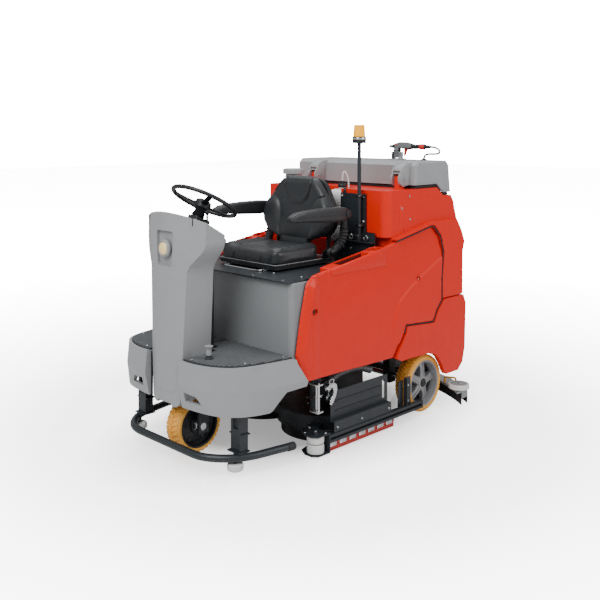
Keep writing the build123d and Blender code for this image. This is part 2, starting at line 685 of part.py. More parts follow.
def rear_rim(hand):
    x_in, x_out = REAR_TRACK_OUT - REAR_W, REAR_TRACK_OUT
    with BuildPart() as rim:
        # dished on both faces, with a hub
        bar_x(*span(hand, x_in + 2, x_out - 2), REAR_S, REAR_R, REAR_RIM_R)
        bar_x(*span(hand, x_out - 26, x_out + 1), REAR_S, REAR_R, REAR_RIM_R - 8, mode=CUT)
        bar_x(*span(hand, x_in - 1, x_out - 40), REAR_S, REAR_R, REAR_RIM_R - 8, mode=CUT)
        bar_x(*span(hand, x_in + 20, x_out - 6), REAR_S, REAR_R, 40)
        # windows in the web
        with BuildSketch(Plane.YZ.offset(hand * (x_out - 60))):
            with Locations((st(REAR_S), REAR_R)):
                with PolarLocations(84, 5, start_angle=18):
                    RectangleRounded(52, 36, 9)
        extrude(amount=hand * 60, mode=CUT)
        # axle bore, blind at the outer face
        bar_x(*span(hand, x_in - 10, x_out - 12), REAR_S, REAR_R, AXLE_R + FIT, mode=CUT)
    return rim


for name, hand in HANDS:
    save(f"rear_{name}_rim", rear_rim(hand))
    save(f"rear_{name}_tyre", ring(*span(hand, REAR_TRACK_OUT - REAR_W, REAR_TRACK_OUT),
                                   REAR_S, REAR_R, REAR_RIM_R, 9))

# --------------------------------------------------------------------- lid
# Side views: (station, height)
LID_SIDE = [(1230, 1350.5), (1440, 1350.5), (1510, 1296.5), (1588, 1296.5), (1590, 1340),
            (1576, 1462), (1552, LID_TOP), (1264, LID_TOP), (1236, 1466)]
LID_HOLLOW_SIDE = [(1240, 1300), (1240, 1460), (1270, 1482), (1546, 1482), (1566, 1458),
                   (1580, 1340), (1578, 1290)]
LID_ARM_SIDE = [(1168, 1430.5), (1238, 1478), (1242, 1478), (1242, 1352), (1172, 1346)]
SEAL_SIDE = [(1246, 1331), (1432, 1331), (1501, 1279.5), (1572, 1279.5), (1572, 1296),
             (1510, 1296), (1440, 1350), (1246, 1350)]
LID_X = 490
HOSE_ENTRY_X, HOSE_ENTRY_S = 356, 1495     # where the spray hose passes the lid

with BuildPart() as tank_lid:
    side(LID_SIDE, -LID_X, LID_X)
    fillet(tank_lid.edges().filter_by(lambda e: abs(abs(e.center().X) - LID_X) < 1
                                      and e.center().Z > 1352), 16)
    side(LID_HOLLOW_SIDE, -480, 480, mode=CUT)
    # hinge barrels that straddle the tank's lugs
    for x in LUGS:
        bar_x(x - 34, x + 34, *LID_PIVOT, 43)
        side(LID_ARM_SIDE, x - 34, x + 34)
        block(x - 22, x + 22, 1120, 1228, 1300, 1420, mode=CUT)
        bar_x(x - 31, x + 31, *LID_PIVOT, 8, mode=CUT)
    bar_z(1470, 1500, HOSE_ENTRY_X, HOSE_ENTRY_S, 14, mode=CUT)
    # cradle for the spray gun
    block(120, 232, 1424, 1476, LID_TOP - 2, 1496)
    for x in (150, 208):
        block(x, x + 6, 1430, 1470, 1496, 1540)
save("tank_lid", tank_lid)

with BuildPart() as lid_seal:
    side(SEAL_SIDE, -478, 478)
    block(-466, 466, 1262, 1561, 1200, 1400, mode=CUT)
save("lid_seal", lid_seal)

with BuildPart() as filler_cap:
    bar_z(1353, 1432, *FILLER, 68)
    fillet(filler_cap.edges().sort_by(Axis.Z)[-1], 6)
    bar_z(1340, 1425, *FILLER, 60, mode=CUT)
    # grip bar across the top
    with Locations((FILLER[0], st(FILLER[1]), 1436)):
        Box(110, 16, 12)
save("filler_cap", filler_cap)

# ------------------------------------------------------------- spray gun
GUN_S, GUN_Z = 1450, 1574          # the barrel's axis
GUN_END_X = 412                    # where the hose joins
TRIGGER_X, TRIGGER_Z, TRIGGER_PIN_R = 244, 1572, 3

with BuildPart() as spray_gun:
    bar_x(150, 392, GUN_S, GUN_Z, 13)
    bar_x(128, 150, GUN_S, GUN_Z, 9)
    bar_x(392, GUN_END_X, GUN_S, GUN_Z, 11)
    block(162, 202, 1437, 1463, 1502, GUN_Z)
    side([(1437, 1560), (1463, 1560), (1460, 1594), (1440, 1594)], 168, 300)
    # slot and pin hole for the trigger
    block(226, 262, GUN_S - 7, GUN_S + 7, 1540, 1592, mode=CUT)
    bar_y(1430, 1470, TRIGGER_X, TRIGGER_Z, TRIGGER_PIN_R, mode=CUT)
save("spray_gun", spray_gun)

with BuildPart() as gun_trigger:
    bar_y(GUN_S - 6, GUN_S + 6, TRIGGER_X, TRIGGER_Z, 7)
    bar_y(GUN_S - 12, GUN_S + 12, TRIGGER_X, TRIGGER_Z, TRIGGER_PIN_R - FIT)
    block(240, 250, GUN_S - 6, GUN_S + 6, 1524, 1570)
    block(238, 246, GUN_S - 6, GUN_S + 6, 1514, 1532)
save("gun_trigger", gun_trigger)

with BuildPart() as spray_hose:
    # out of the gun, round a half turn, then down through the lid
    gun_y, entry_y = st(GUN_S), st(HOSE_ENTRY_S)
    with BuildLine() as loop:
        Line((GUN_END_X, gun_y, GUN_Z), (458, gun_y, GUN_Z))
        ThreePointArc((458, gun_y, GUN_Z), (489.82, st(1472.5), 1551.5), (458, entry_y, 1529))
        Line((458, entry_y, 1529), (380, entry_y, 1529))
        ThreePointArc((380, entry_y, 1529), (363.03, entry_y, 1521.97),
                      (HOSE_ENTRY_X, entry_y, 1505))
        Line((HOSE_ENTRY_X, entry_y, 1505), (HOSE_ENTRY_X, entry_y, 1415))
    with BuildSketch(Plane(origin=(GUN_END_X, gun_y, GUN_Z), z_dir=(1, 0, 0))):
        Circle(7)
    sweep(path=loop.line)
save("spray_hose", spray_hose)

# -------------------------------------------------------------------- seat
RUNNER_GAP = 8.5         # half the gap between the runners over each slide
with BuildPart() as seat_base:
    block(-238, 238, 338, 790, 942, 950)
    for x in (-SLIDE_X, SLIDE_X):
        block(x - 22, x - RUNNER_GAP, 338, 790, DECK_TOP + 10.5, 942)
        block(x + RUNNER_GAP, x + 22, 338, 790, DECK_TOP + 10.5, 942)
    # skirt along the front and both sides
    block(-238, 238, 338, 346, 926, 942)
    block(-238, -230, 346, 790, 926, 942)
    block(230, 238, 346, 790, 926, 942)
    upright_edges = seat_base.edges().filter_by(Axis.Z)
    fillet(upright_edges.filter_by(lambda e: abs(e.center().X) > 236), 20)
    # ears for the backrest's recline pivot
    for hand in (-1, 1):
        side([(745, 948), (811, 948), (797, 985), (790, 1002), (766, 1002), (759, 985)],
             *span(hand, 214.5, 224))
        bar_x(*span(hand, 212.5, 226), *RECLINE, 6 + FIT, mode=CUT)
    for x in (-SLIDE_X, SLIDE_X):
        block(x - RUNNER_GAP, x + RUNNER_GAP, 330, 800, 900, 932.5, mode=CUT)
save("seat_base", seat_base)

with BuildPart() as seat_cushion:
    block(-240, 240, 334, 690, 951, 1034)
    fillet(seat_cushion.edges().filter_by(Axis.Z), 55)
    fillet(seat_cushion.faces().sort_by(Axis.Z)[-1].edges(), 24)
save("seat_cushion", seat_cushion)

# Backrest's left edge between its bottom and top corners: (X, height)
BACK_EDGE = [(236, 1085), (262, 1125), (270, 1160), (258, 1215), (226, 1290), (186, 1362)]


def back_outline(inset):
    """Front view of the backrest, drawn in by inset."""
    bottom = (196 - inset, 1052 + inset)
    top = (136 - inset, 1400 - inset)
    edge = [bottom, *[(x - inset, z) for x, z in BACK_EDGE], top]
    with BuildSketch(Plane.XZ.offset(-st(900))) as face:
        with BuildLine():
            Line((-bottom[0], bottom[1]), bottom)
            Spline(*edge)
            ThreePointArc(top, (0, 1412 - inset), (-top[0], top[1]))
            Spline(*[(-x, z) for x, z in edge])
        make_face()
    return face.sketch


with BuildPart() as backrest_cushion:
    extrude(back_outline(0), amount=400)
    side([(702, 1040), (744, 1420), (790, 1420), (765, 1040)], -300, 300, mode=Mode.INTERSECT)
    # the curved front edge may refuse the fillet
    try:
        fillet(backrest_cushion.faces().sort_by(Axis.Y)[0].edges(), 16)
    except Exception:
        pass
save("backrest_cushion", backrest_cushion)

with BuildPart() as backrest_shell:
    extrude(back_outline(8), amount=400)
    side([(766, 1046), (791, 1420), (812, 1420), (820, 1250), (802, 1046)], -300, 300,
         mode=Mode.INTERSECT)
    for hand in (-1, 1):
        # strap down to the recline pivot
        side([(768, 985), (774, 1110), (800, 1110), (800, 1046), (790, 985)],
             *span(hand, 203, 213))
        bar_x(*span(hand, 203, 213), *RECLINE, 12)
        bar_x(*span(hand, 203, 226), *RECLINE, 6)
        # boss and pin for the armrest
        bar_x(*span(hand, 230, 287), *ARM_PIVOT, 18)
        bar_x(*span(hand, 230, 335), *ARM_PIVOT, 8)
save("backrest_shell", backrest_shell)

ARM_IN, ARM_OUT = 289, 350         # X of the armrest's faces
ARM_SIDE = [(352, 1200), (358, 1226), (400, 1242), (520, 1249), (790, 1247), (816, 1226),
            (816, 1186), (792, 1168), (640, 1172), (480, 1184)]

for name, hand in HANDS:
    with BuildPart() as armrest:
        side(ARM_SIDE, *span(hand, ARM_IN, ARM_OUT))
        fillet(armrest.edges().filter_by(lambda e: abs(abs(e.center().X) - ARM_IN) < 1
                                         or abs(abs(e.center().X) - ARM_OUT) < 1), 8)
        bar_x(*span(hand, 280, 337), *ARM_PIVOT, 8 + FIT, mode=CUT)
    save(f"{name}_armrest", armrest)

# -------------------------------------------------------------- scrub deck
DECK_Z = 150             # top of the brush housing
# Plan of a guide roller's carrier plate: (X, station)
CARRIER_PLAN = ((548, 428), (548, 345), (520, 322), (470, 322), (418, 352), (396, 428))

with BuildPart() as brush_deck:
    # housing over both brushes, hollow below
    for hand in (-1, 1):
        bar_z(62, DECK_Z, hand * BRUSH_X, BRUSH_S, 262)
    block(-250, 250, 470, 960, 100, DECK_Z)
    block(-160, 160, 900, 1012, 142, DECK_Z)
    for hand in (-1, 1):
        bar_z(50, 142, hand * BRUSH_X, BRUSH_S, 256, mode=CUT)
    block(-240, 240, 478, 952, 50, 142, mode=CUT)
    for hand in (-1, 1):
        bar_z(140, 160, hand * BRUSH_X, BRUSH_S, BRUSH_SHAFT_R + FIT, mode=CUT)
        # side rail, grooved outside, and its tie
        block(*span(hand, 512, 540), 425, 1236, 52, 94)
        block(*span(hand, 522, 541), 440, 1228, 66, 80, mode=CUT)
        block(*span(hand, 500, 514), 640, 760, 64, 92)
        # roller carrier: upper and lower plates with a web behind
        for z0, z1 in ((106, 112), (8, 14)):
            with BuildSketch(Plane.XY.offset(z0)) as plate:
                with BuildLine():
                    Polyline(*[(hand * x, st(s)) for x, s in CARRIER_PLAN], close=True)
                make_face()
            extrude(plate.sketch, amount=z1 - z0)
        block(*span(hand, 396, 548), 428, 434, 8, 112)
        block(*span(hand, 380, 430), 428, 560, 100, 112)
        # bolt that the guide rollers turn on
        bar_z(10, 118, hand * ROLLER_X, ROLLER_S, ROLLER_BOLT_R)
        bar_z(112, 120, hand * ROLLER_X, ROLLER_S, 13)
        # clip strip that grips the skirt
        block(*span(hand, 514, 526), 440, 985, 34, 54)
        # folded side guard with a window
        block(*span(hand, 503, 506), 480, 950, 146, 300)
        block(*span(hand, 503, 534), 480, 950, 146, 150)
        block(*span(hand, 531, 534), 480, 950, 90, 150)
        block(*span(hand, 500, 510), 905, 925, 175, 275, mode=CUT)
        # angled plate in front of the rear wheel
        block(*span(hand, 514, 538), 1090, 1094, 90, 250)
        block(*span(hand, 514, 517), 1090, 1150, 90, 250)
    # guide posts and the lift actuator's rod
    for x in (-POST_X, POST_X):
        bar_z(DECK_Z, 455, x, POST_S, POST_R)
    bar_z(DECK_Z, 310, 0, POST_S, ROD_R)
save("brush_deck", brush_deck)

with BuildPart() as brush_motors:
    for hand in (-1, 1):
        bar_z(DECK_Z + 1, 168, hand * BRUSH_X, BRUSH_S, 78)
        bar_z(168, 318, hand * BRUSH_X, BRUSH_S, 62)
save("brush_motors", brush_motors)

for name, hand in HANDS:
    with BuildPart() as brush_disc:
        # backing disc, shaft and hub, then the ring of bristles
        bar_z(62, 80, hand * BRUSH_X, BRUSH_S, BRUSH_R - 2)
        bar_z(80, 148, hand * BRUSH_X, BRUSH_S, BRUSH_SHAFT_R)
        bar_z(80, 110, hand * BRUSH_X, BRUSH_S, 50)
        bar_z(4, 62, hand * BRUSH_X, BRUSH_S, BRUSH_R)
        bar_z(0, 62, hand * BRUSH_X, BRUSH_S, 110, mode=CUT)
    save(f"{name}_brush", brush_disc)

# rubber lip below each clip strip
with BuildPart() as deck_skirts:
    for hand in (-1, 1):
        block(*span(hand, 517, 523), 440, 985, 4, 34)
save("deck_skirts", deck_skirts)

for name, hand in HANDS:
    with BuildPart() as roller:
        bar_z(16, 62, hand * ROLLER_X, ROLLER_S, 44.5)
        bar_z(68, 104, hand * ROLLER_X, ROLLER_S, 44.5)
        fillet(roller.edges().filter_by(GeomType.CIRCLE), 5)
        bar_z(60, 70, hand * ROLLER_X, ROLLER_S, 26)
        bar_z(10, 110, hand * ROLLER_X, ROLLER_S, ROLLER_BOLT_R + FIT, mode=CUT)
    save(f"{name}_guide_roller", roller)

with BuildPart() as latch_handle:
    side([(448, 344), (474, 346), (492, 330), (492, 300), (476, 262), (460, 258), (458, 270),
          (472, 300), (468, 316), (448, 318)], 492, 500)
    bar_x(490, 502, *LATCH_PIVOT, 8 + FIT, mode=CUT)
save("latch_handle", latch_handle)


# --------------------------------------------------------------- squeegee
def bow(inner_r, outer_r, z0, z1, half, mode=Mode.ADD):
    """A slice of the squeegee's bow between two radii about station BOW_S."""
    with BuildSketch(Plane.XY.offset(z0)) as bow_slice:
        with BuildLine():
            ends = []
            for radius in (inner_r, outer_r):
                end_y = st(BOW_S + sqrt(radius * radius - half * half))
                ThreePointArc((-half, end_y), (0, st(BOW_S + radius)), (half, end_y))
                ends.append(end_y)
            for hand in (-1, 1):
                Line((hand * half, ends[0]), (hand * half, ends[1]))
        make_face()
    extrude(bow_slice.sketch, amount=z1 - z0, mode=mode)


# Side view of the arm from the pivot down to the bow: (station, height)
SQUEEGEE_ARM_SIDE = [
    (1500, 268), (1502, 296), (1525, 304), (1548, 292), (1762, 132), (1796, 96), (1796, 88),
    (1722, 88), (1700, 108), (1536, 256), (1510, 258)]
SPOUT = (110, 1766)      # X and station of the suction spout

with BuildPart() as squeegee_frame:
    # top plate over a hollow blade carrier
    bow(958, 1044, 78, 90, BLADE_HALF)
    bow(996, 1042, 40, 78, BLADE_HALF)
    bow(1000, 1038, 30, 78, 582, mode=CUT)
    # arm up to the pivot
    side(SQUEEGEE_ARM_SIDE, -45, 45)
    bar_x(-84, 84, *SQUEEGEE_PIVOT, 10)
    block(-60, 60, 1740, 1800, 88, 100)
    bar_z(88, 150, *SPOUT, 26)
    bar_z(70, 160, *SPOUT, 21, mode=CUT)
    # bolts for the end rollers
    for hand in (-1, 1):
        bar_z(86, 132, hand * END_ROLLER[0], END_ROLLER[1], END_BOLT_R)
        bar_z(126, 134, hand * END_ROLLER[0], END_ROLLER[1], 14)
save("squeegee_frame", squeegee_frame)

with BuildPart() as squeegee_blades:
    bow(991, 995.5, 3, 78, BLADE_HALF)
    bow(1042.5, 1047, 2, 78, BLADE_HALF)
save("squeegee_blades", squeegee_blades)

with BuildPart() as squeegee_handles:
    for hand in (-1, 1):
        foot = (hand * 418, st(1630), 90)
        with BuildLine() as grip:
            FilletPolyline(foot, (hand * 418, st(1630), 124), (hand * 480, st(1660), 124),
                           (hand * 480, st(1660), 90), radius=10)
        with BuildSketch(Plane(origin=foot, z_dir=(0, 0, 1))):
            Circle(6)
        sweep(path=grip.line)
save("squeegee_handles", squeegee_handles)

for name, hand in HANDS:
    with BuildPart() as roller:
        bar_z(94, 124, hand * END_ROLLER[0], END_ROLLER[1], 63)
        fillet(roller.edges().filter_by(GeomType.CIRCLE), 6)
        bar_z(90, 130, hand * END_ROLLER[0], END_ROLLER[1], END_BOLT_R + FIT, mode=CUT)
    save(f"{name}_squeegee_roller", roller)
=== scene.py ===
import bpy, bmesh, json, math, random
from mathutils import Vector, Matrix

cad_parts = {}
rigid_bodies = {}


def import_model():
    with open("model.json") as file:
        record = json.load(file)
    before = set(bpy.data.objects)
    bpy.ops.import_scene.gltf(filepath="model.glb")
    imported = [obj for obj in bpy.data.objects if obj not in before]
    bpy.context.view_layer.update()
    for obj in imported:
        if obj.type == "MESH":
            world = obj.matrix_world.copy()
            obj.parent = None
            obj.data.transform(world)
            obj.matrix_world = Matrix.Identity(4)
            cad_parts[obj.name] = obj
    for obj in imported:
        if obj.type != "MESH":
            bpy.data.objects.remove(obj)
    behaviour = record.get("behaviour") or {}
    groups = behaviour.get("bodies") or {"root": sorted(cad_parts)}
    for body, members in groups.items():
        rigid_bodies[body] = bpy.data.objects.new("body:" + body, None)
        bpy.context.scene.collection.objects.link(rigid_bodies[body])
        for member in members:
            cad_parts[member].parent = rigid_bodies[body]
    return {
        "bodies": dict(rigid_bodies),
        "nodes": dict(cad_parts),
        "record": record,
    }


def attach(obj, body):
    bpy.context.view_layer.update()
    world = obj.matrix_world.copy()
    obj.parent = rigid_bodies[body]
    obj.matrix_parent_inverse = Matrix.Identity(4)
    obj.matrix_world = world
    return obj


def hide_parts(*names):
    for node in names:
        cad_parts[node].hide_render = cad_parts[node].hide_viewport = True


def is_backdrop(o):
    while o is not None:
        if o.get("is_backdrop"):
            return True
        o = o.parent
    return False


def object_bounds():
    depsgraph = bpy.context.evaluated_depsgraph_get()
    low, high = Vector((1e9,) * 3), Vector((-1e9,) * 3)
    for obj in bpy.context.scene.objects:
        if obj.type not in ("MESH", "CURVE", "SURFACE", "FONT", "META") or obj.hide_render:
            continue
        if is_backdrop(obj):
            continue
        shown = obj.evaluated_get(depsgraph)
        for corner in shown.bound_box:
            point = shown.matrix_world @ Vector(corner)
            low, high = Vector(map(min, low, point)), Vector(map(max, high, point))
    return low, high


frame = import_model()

NODES, BODIES = frame["nodes"], frame["bodies"]
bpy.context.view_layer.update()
random.seed(7)
D0 = -0.790


def st(s):
    return D0 + s


# ---------------------------------------------------------------- materials
def rgb(r, g, b):
    f = lambda c: ((c / 255 + 0.055) / 1.055) ** 2.4 if c > 10 else c / 255 / 12.92
    return (f(r), f(g), f(b), 1)


class Net:
    def __init__(self, name):
        self.m = bpy.data.materials.new(name)
        self.m.use_nodes = True
        self.t = self.m.node_tree
        self.b = self.t.nodes["Principled BSDF"]
        self.co = self.t.nodes.new("ShaderNodeTexCoord")

    def n(self, kind, **k):
        x = self.t.nodes.new(kind)
        for a, v in k.items():
            if a.startswith("i_"):
                x.inputs[a[2:].replace("_", " ")].default_value = v
            else:
                setattr(x, a, v)
        return x

    def l(self, a, b):
        self.t.links.new(a, b)

    def noise(self, scale, detail=4.0, rough=0.55, stretch=None):
        n = self.n("ShaderNodeTexNoise")
        n.inputs["Scale"].default_value = scale
        n.inputs["Detail"].default_value = detail
        n.inputs["Roughness"].default_value = rough
        if stretch:
            mp = self.n("ShaderNodeMapping")
            mp.inputs["Scale"].default_value = stretch
            self.l(self.co.outputs["Object"], mp.inputs["Vector"])
            self.l(mp.outputs["Vector"], n.inputs["Vector"])
        else:
            self.l(self.co.outputs["Object"], n.inputs["Vector"])
        return n.outputs["Fac"]

    def ramp(self, src, stops):
        r = self.n("ShaderNodeValToRGB")
        e = r.color_ramp.elements
        e[0].position, e[0].color = stops[0][0], stops[0][1]
        e[1].position, e[1].color = stops[-1][0], stops[-1][1]
        for p, c in stops[1:-1]:
            q = e.new(p)
            q.color = c
        self.l(src, r.inputs["Fac"])
        return r.outputs["Color"]

    def mapr(self, src, a, b, c, d):
        r = self.n("ShaderNodeMapRange")
        for i, v in zip(("From Min", "From Max", "To Min", "To Max"), (a, b, c, d)):
            r.inputs[i].default_value = v
        self.l(src, r.inputs["Value"])
        return r.outputs["Result"]

    def bump(self, src, strength, dist):
        b = self.n("ShaderNodeBump")
        b.inputs["Strength"].default_value = strength
        b.inputs["Distance"].default_value = dist
        self.l(src, b.inputs["Height"])
        self.l(b.outputs["Normal"], self.b.inputs["Normal"])
        return b


def tone(c, k):
    return (min(1, c[0] * k), min(1, c[1] * k), min(1, c[2] * k), 1)


def surface(name, col, rough, metal=0.0, grain=900.0, grain_h=0.00008, vary=0.06, coat=0.0, coat_rough=0.1,
            spec=0.5, stretch=None, dirt=0.0, rough_vary=0.06):
    n = Net(name)
    big = n.noise(5.0, 3)
    c = n.ramp(big, [(0.3, tone(col, 1 - vary)), (0.7, tone(col, 1 + vary))])
    if dirt:
        spot = n.noise(38.0, 6, 0.7)
        mix = n.n("ShaderNodeMix", data_type="RGBA", blend_type="MULTIPLY")
        n.l(n.mapr(spot, 0.55, 0.8, 0.0, dirt), mix.inputs["Factor"])
        n.l(c, mix.inputs["A"])
        mix.inputs["B"].default_value = (0.55, 0.5, 0.45, 1)
        c = mix.outputs["Result"]
    n.l(c, n.b.inputs["Base Color"])
    n.b.inputs["Metallic"].default_value = metal
    n.b.inputs["Specular IOR Level"].default_value = spec
    n.b.inputs["Coat Weight"].default_value = coat
    n.b.inputs["Coat Roughness"].default_value = coat_rough
    mid = n.noise(22.0, 5, 0.6)
    n.l(n.mapr(mid, 0.3, 0.7, max(0.02, rough - rough_vary), min(1, rough + rough_vary)), n.b.inputs["Roughness"])
    fine = n.noise(grain, 2, 0.5, stretch)
    n.bump(fine, 0.5, grain_h)
    return n.m


RED = (0.72, 0.0135, 0.0020, 1)
LIGHT_GREY = rgb(150, 152, 154)
BOX_GREY = rgb(128, 131, 133)
LID_GREY = rgb(150, 152, 154)
ANTHRACITE = rgb(35, 41, 46)
BLACK = rgb(22, 24, 27)
YELLOW = rgb(238, 172, 68)

M = {}
M["red"] = surface("red_moulding", RED, 0.38, grain=500, grain_h=0.00004, vary=0.03, coat=0.10, coat_rough=0.2, spec=0.26)
M["light"] = surface("light_grey_moulding", LIGHT_GREY, 0.42, grain=700, grain_h=0.00006, vary=0.03, coat=0.1, coat_rough=0.3)
M["box"] = surface("box_grey_paint", BOX_GREY, 0.45, grain=600, vary=0.04)
M["lid"] = surface("lid_grey_moulding", LID_GREY, 0.45, grain=700, vary=0.04)
M["dark"] = surface("anthracite_powder_coat", ANTHRACITE, 0.42, grain=1200, grain_h=0.00012, vary=0.08, dirt=0.15)
M["black"] = surface("black_plastic", BLACK, 0.48, grain=1100, grain_h=0.0001, vary=0.1)
M["rubber"] = surface("black_rubber", rgb(38, 40, 43), 0.7, grain=800, grain_h=0.0001, vary=0.12, dirt=0.2)
M["tyre"] = surface("yellow_polyurethane", YELLOW, 0.5, grain=500, grain_h=0.0001, vary=0.07, dirt=0.12)
M["cast"] = surface("cast_wheel_grey", rgb(150, 152, 154), 0.42, metal=0.35, grain=700, grain_h=0.0001, vary=0.07)
M["steel"] = surface("bright_steel", rgb(200, 202, 205), 0.24, metal=1.0, grain=260, grain_h=0.00003, vary=0.05, stretch=(1, 1, 14))
M["white"] = surface("white_nylon", rgb(225, 226, 224), 0.38, grain=700, grain_h=0.00005, vary=0.03, dirt=0.08)
M["skirt"] = surface("red_skirt_rubber", rgb(176, 44, 34), 0.55, grain=500, grain_h=0.00012, vary=0.1, dirt=0.2)
M["motor"] = surface("motor_grey_paint", rgb(128, 131, 133), 0.4, metal=0.3, vary=0.06)
M["battery"] = surface("battery_case", rgb(40, 42, 46), 0.5, vary=0.1)
M["trigger"] = surface("trigger_red", rgb(205, 40, 32), 0.35, vary=0.05)
M["handle"] = surface("handle_yellow", rgb(240, 176, 48), 0.35, vary=0.05)
M["vinyl"] = surface("grained_vinyl", rgb(37, 40, 43), 0.40, grain=420, grain_h=0.0003, vary=0.08)
M["milky"] = surface("milky_canister", rgb(222, 224, 222), 0.35, vary=0.03)
M["lamp"] = surface("lamp_face", rgb(240, 214, 150), 0.12, vary=0.04, coat=0.8, coat_rough=0.03)
M["amber"] = surface("amber_lens", (0.95, 0.40, 0.0, 1), 0.28, vary=0.05, coat=0.12, coat_rough=0.04, spec=0.2)
M["tread"] = surface("mat_tread", rgb(92, 95, 98), 0.6, grain=800, grain_h=0.0001, vary=0.12)
M["well"] = surface("shaded_red_well", (0.11, 0.002, 0.0006, 1), 0.5, vary=0.05)
for mt, col, k in (("amber", (1.0, 0.46, 0.0, 1), 0.55), ("lamp", (1.0, 0.62, 0.18, 1), 0.22)):
    pb = M[mt].node_tree.nodes["Principled BSDF"]
    pb.inputs["Emission Color"].default_value = col
    pb.inputs["Emission Strength"].default_value = k

M["piping"] = surface("dark_piping", rgb(24, 26, 28), 0.4, grain=900, grain_h=0.0001, vary=0.06)
M["cloth"] = surface("seat_cloth", rgb(92, 96, 100), 0.85, grain=330, grain_h=0.0006, vary=0.16)

SLOT_TO = {"black_steel": "dark", "steel": "steel", "grey_shell": "light", "box_grey": "box", "lid_grey": "lid",
           "mat_rubber": "rubber", "red_shell": "red", "wheel_yellow": "tyre", "cast_grey": "cast",
           "black_plastic": "black", "seat_vinyl": "vinyl", "amber": "amber", "milky": "milky", "lamp_white": "lamp",
           "white_plastic": "white", "skirt_red": "skirt", "trigger_red": "trigger", "handle_yellow": "handle",
           "motor_grey": "motor", "battery": "battery"}
SLOT_OF = {p["node"]: p["material_slot"] for p in frame["record"]["subparts"]}


def paint(o, mat):
    o.data.materials.clear()
    o.data.materials.append(M[mat] if isinstance(mat, str) else mat)


for name, o in NODES.items():
    paint(o, SLOT_TO[SLOT_OF[name]])


def bevel(o, width=0.003, seg=3, angle=35):
    m = o.modifiers.new("edge", "BEVEL")
    m.width, m.segments = width, seg
    m.limit_method, m.angle_limit = "ANGLE", math.radians(angle)
    m.harden_normals = False
    return m


# ------------------------------------------------------------------- stage
def stage_floor():
    bpy.ops.mesh.primitive_plane_add(size=60, location=(0, 0, 0))
    f = bpy.context.object
    f.name = "floor"
    n = Net("pale_floor")
    big = n.noise(0.6, 4)
    n.l(n.ramp(big, [(0.3, (0.80, 0.80, 0.805, 1)), (0.7, (0.84, 0.84, 0.845, 1))]), n.b.inputs["Base Color"])
    n.l(n.mapr(n.noise(3.0, 5), 0.3, 0.7, 0.04, 0.08), n.b.inputs["Roughness"])
    n.b.inputs["Specular IOR Level"].default_value = 1.0
    n.b.inputs["Coat Weight"].default_value = 0.6
    n.b.inputs["Coat Roughness"].default_value = 0.03
    # the sweep behind the object is lit from below, so it reads as paper white
    n.b.inputs["Emission Color"].default_value = (1, 1, 1, 1)
    path = n.n("ShaderNodeLightPath")
    geo = n.n("ShaderNodeNewGeometry")
    ln = n.n("ShaderNodeVectorMath", operation="LENGTH")
    n.l(geo.outputs["Position"], ln.inputs[0])
    far = n.mapr(ln.outputs["Value"], 1.4, 6.0, FLOOR_GLOW, 24.0)
    # the glow dies away under the machine, where the contact shadow lies
    near = n.n("ShaderNodeVectorMath", operation="MULTIPLY")
    near.inputs[1].default_value = (1 / 0.56, 1 / 0.90, 0)
    n.l(geo.outputs["Position"], near.inputs[0])
    nl = n.n("ShaderNodeVectorMath", operation="LENGTH")
    n.l(near.outputs["Vector"], nl.inputs[0])
    mask = n.mapr(nl.outputs["Value"], 0.75, 1.55, 0.10, 1.0)
    shade_ = n.n("ShaderNodeMath", operation="MULTIPLY")
    n.l(far, shade_.inputs[0])
    n.l(mask, shade_.inputs[1])
    mul = n.n("ShaderNodeMath", operation="MULTIPLY")
    n.l(path.outputs["Is Camera Ray"], mul.inputs[0])
    n.l(shade_.outputs["Value"], mul.inputs[1])
    n.l(mul.outputs["Value"], n.b.inputs["Emission Strength"])
    f.data.materials.append(n.m)
    f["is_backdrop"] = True


FLOOR_GLOW = 4.0
stage_floor()
w = bpy.data.worlds.new("studio")
bpy.context.scene.world = w
w.use_nodes = True
wt = w.node_tree
bg = wt.nodes["Background"]
bg.inputs["Color"].default_value = (1, 1, 1, 1)
path = wt.nodes.new("ShaderNodeLightPath")
mr = wt.nodes.new("ShaderNodeMapRange")
mr.inputs["To Min"].default_value, mr.inputs["To Max"].default_value = 0.50, 24.0
wt.links.new(path.outputs["Is Camera Ray"], mr.inputs["Value"])
wt.links.new(mr.outputs["Result"], bg.inputs["Strength"])


def area(name, loc, target, size, power, color=(1, 1, 1)):
    l = bpy.data.lights.new(name, "AREA")
    l.shape, l.size, l.size_y = "RECTANGLE", size[0], size[1]
    l.energy, l.color = power, color
    o = bpy.data.objects.new(name, l)
    bpy.context.collection.objects.link(o)
    o.location = loc
    o.rotation_euler = (Vector(target) - Vector(loc)).to_track_quat("-Z", "Y").to_euler()
    o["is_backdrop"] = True
    return o


area("key", (1.2, -4.4, 4.6), (0, 0, 0.7), (3.0, 3.0), 260)
area("side", (5.0, 1.6, 3.2), (0, 0.2, 0.7), (3.2, 2.4), 120)
area("top", (-1.0, 0.6, 5.2), (0, 0, 0.6), (4.0, 4.0), 130)

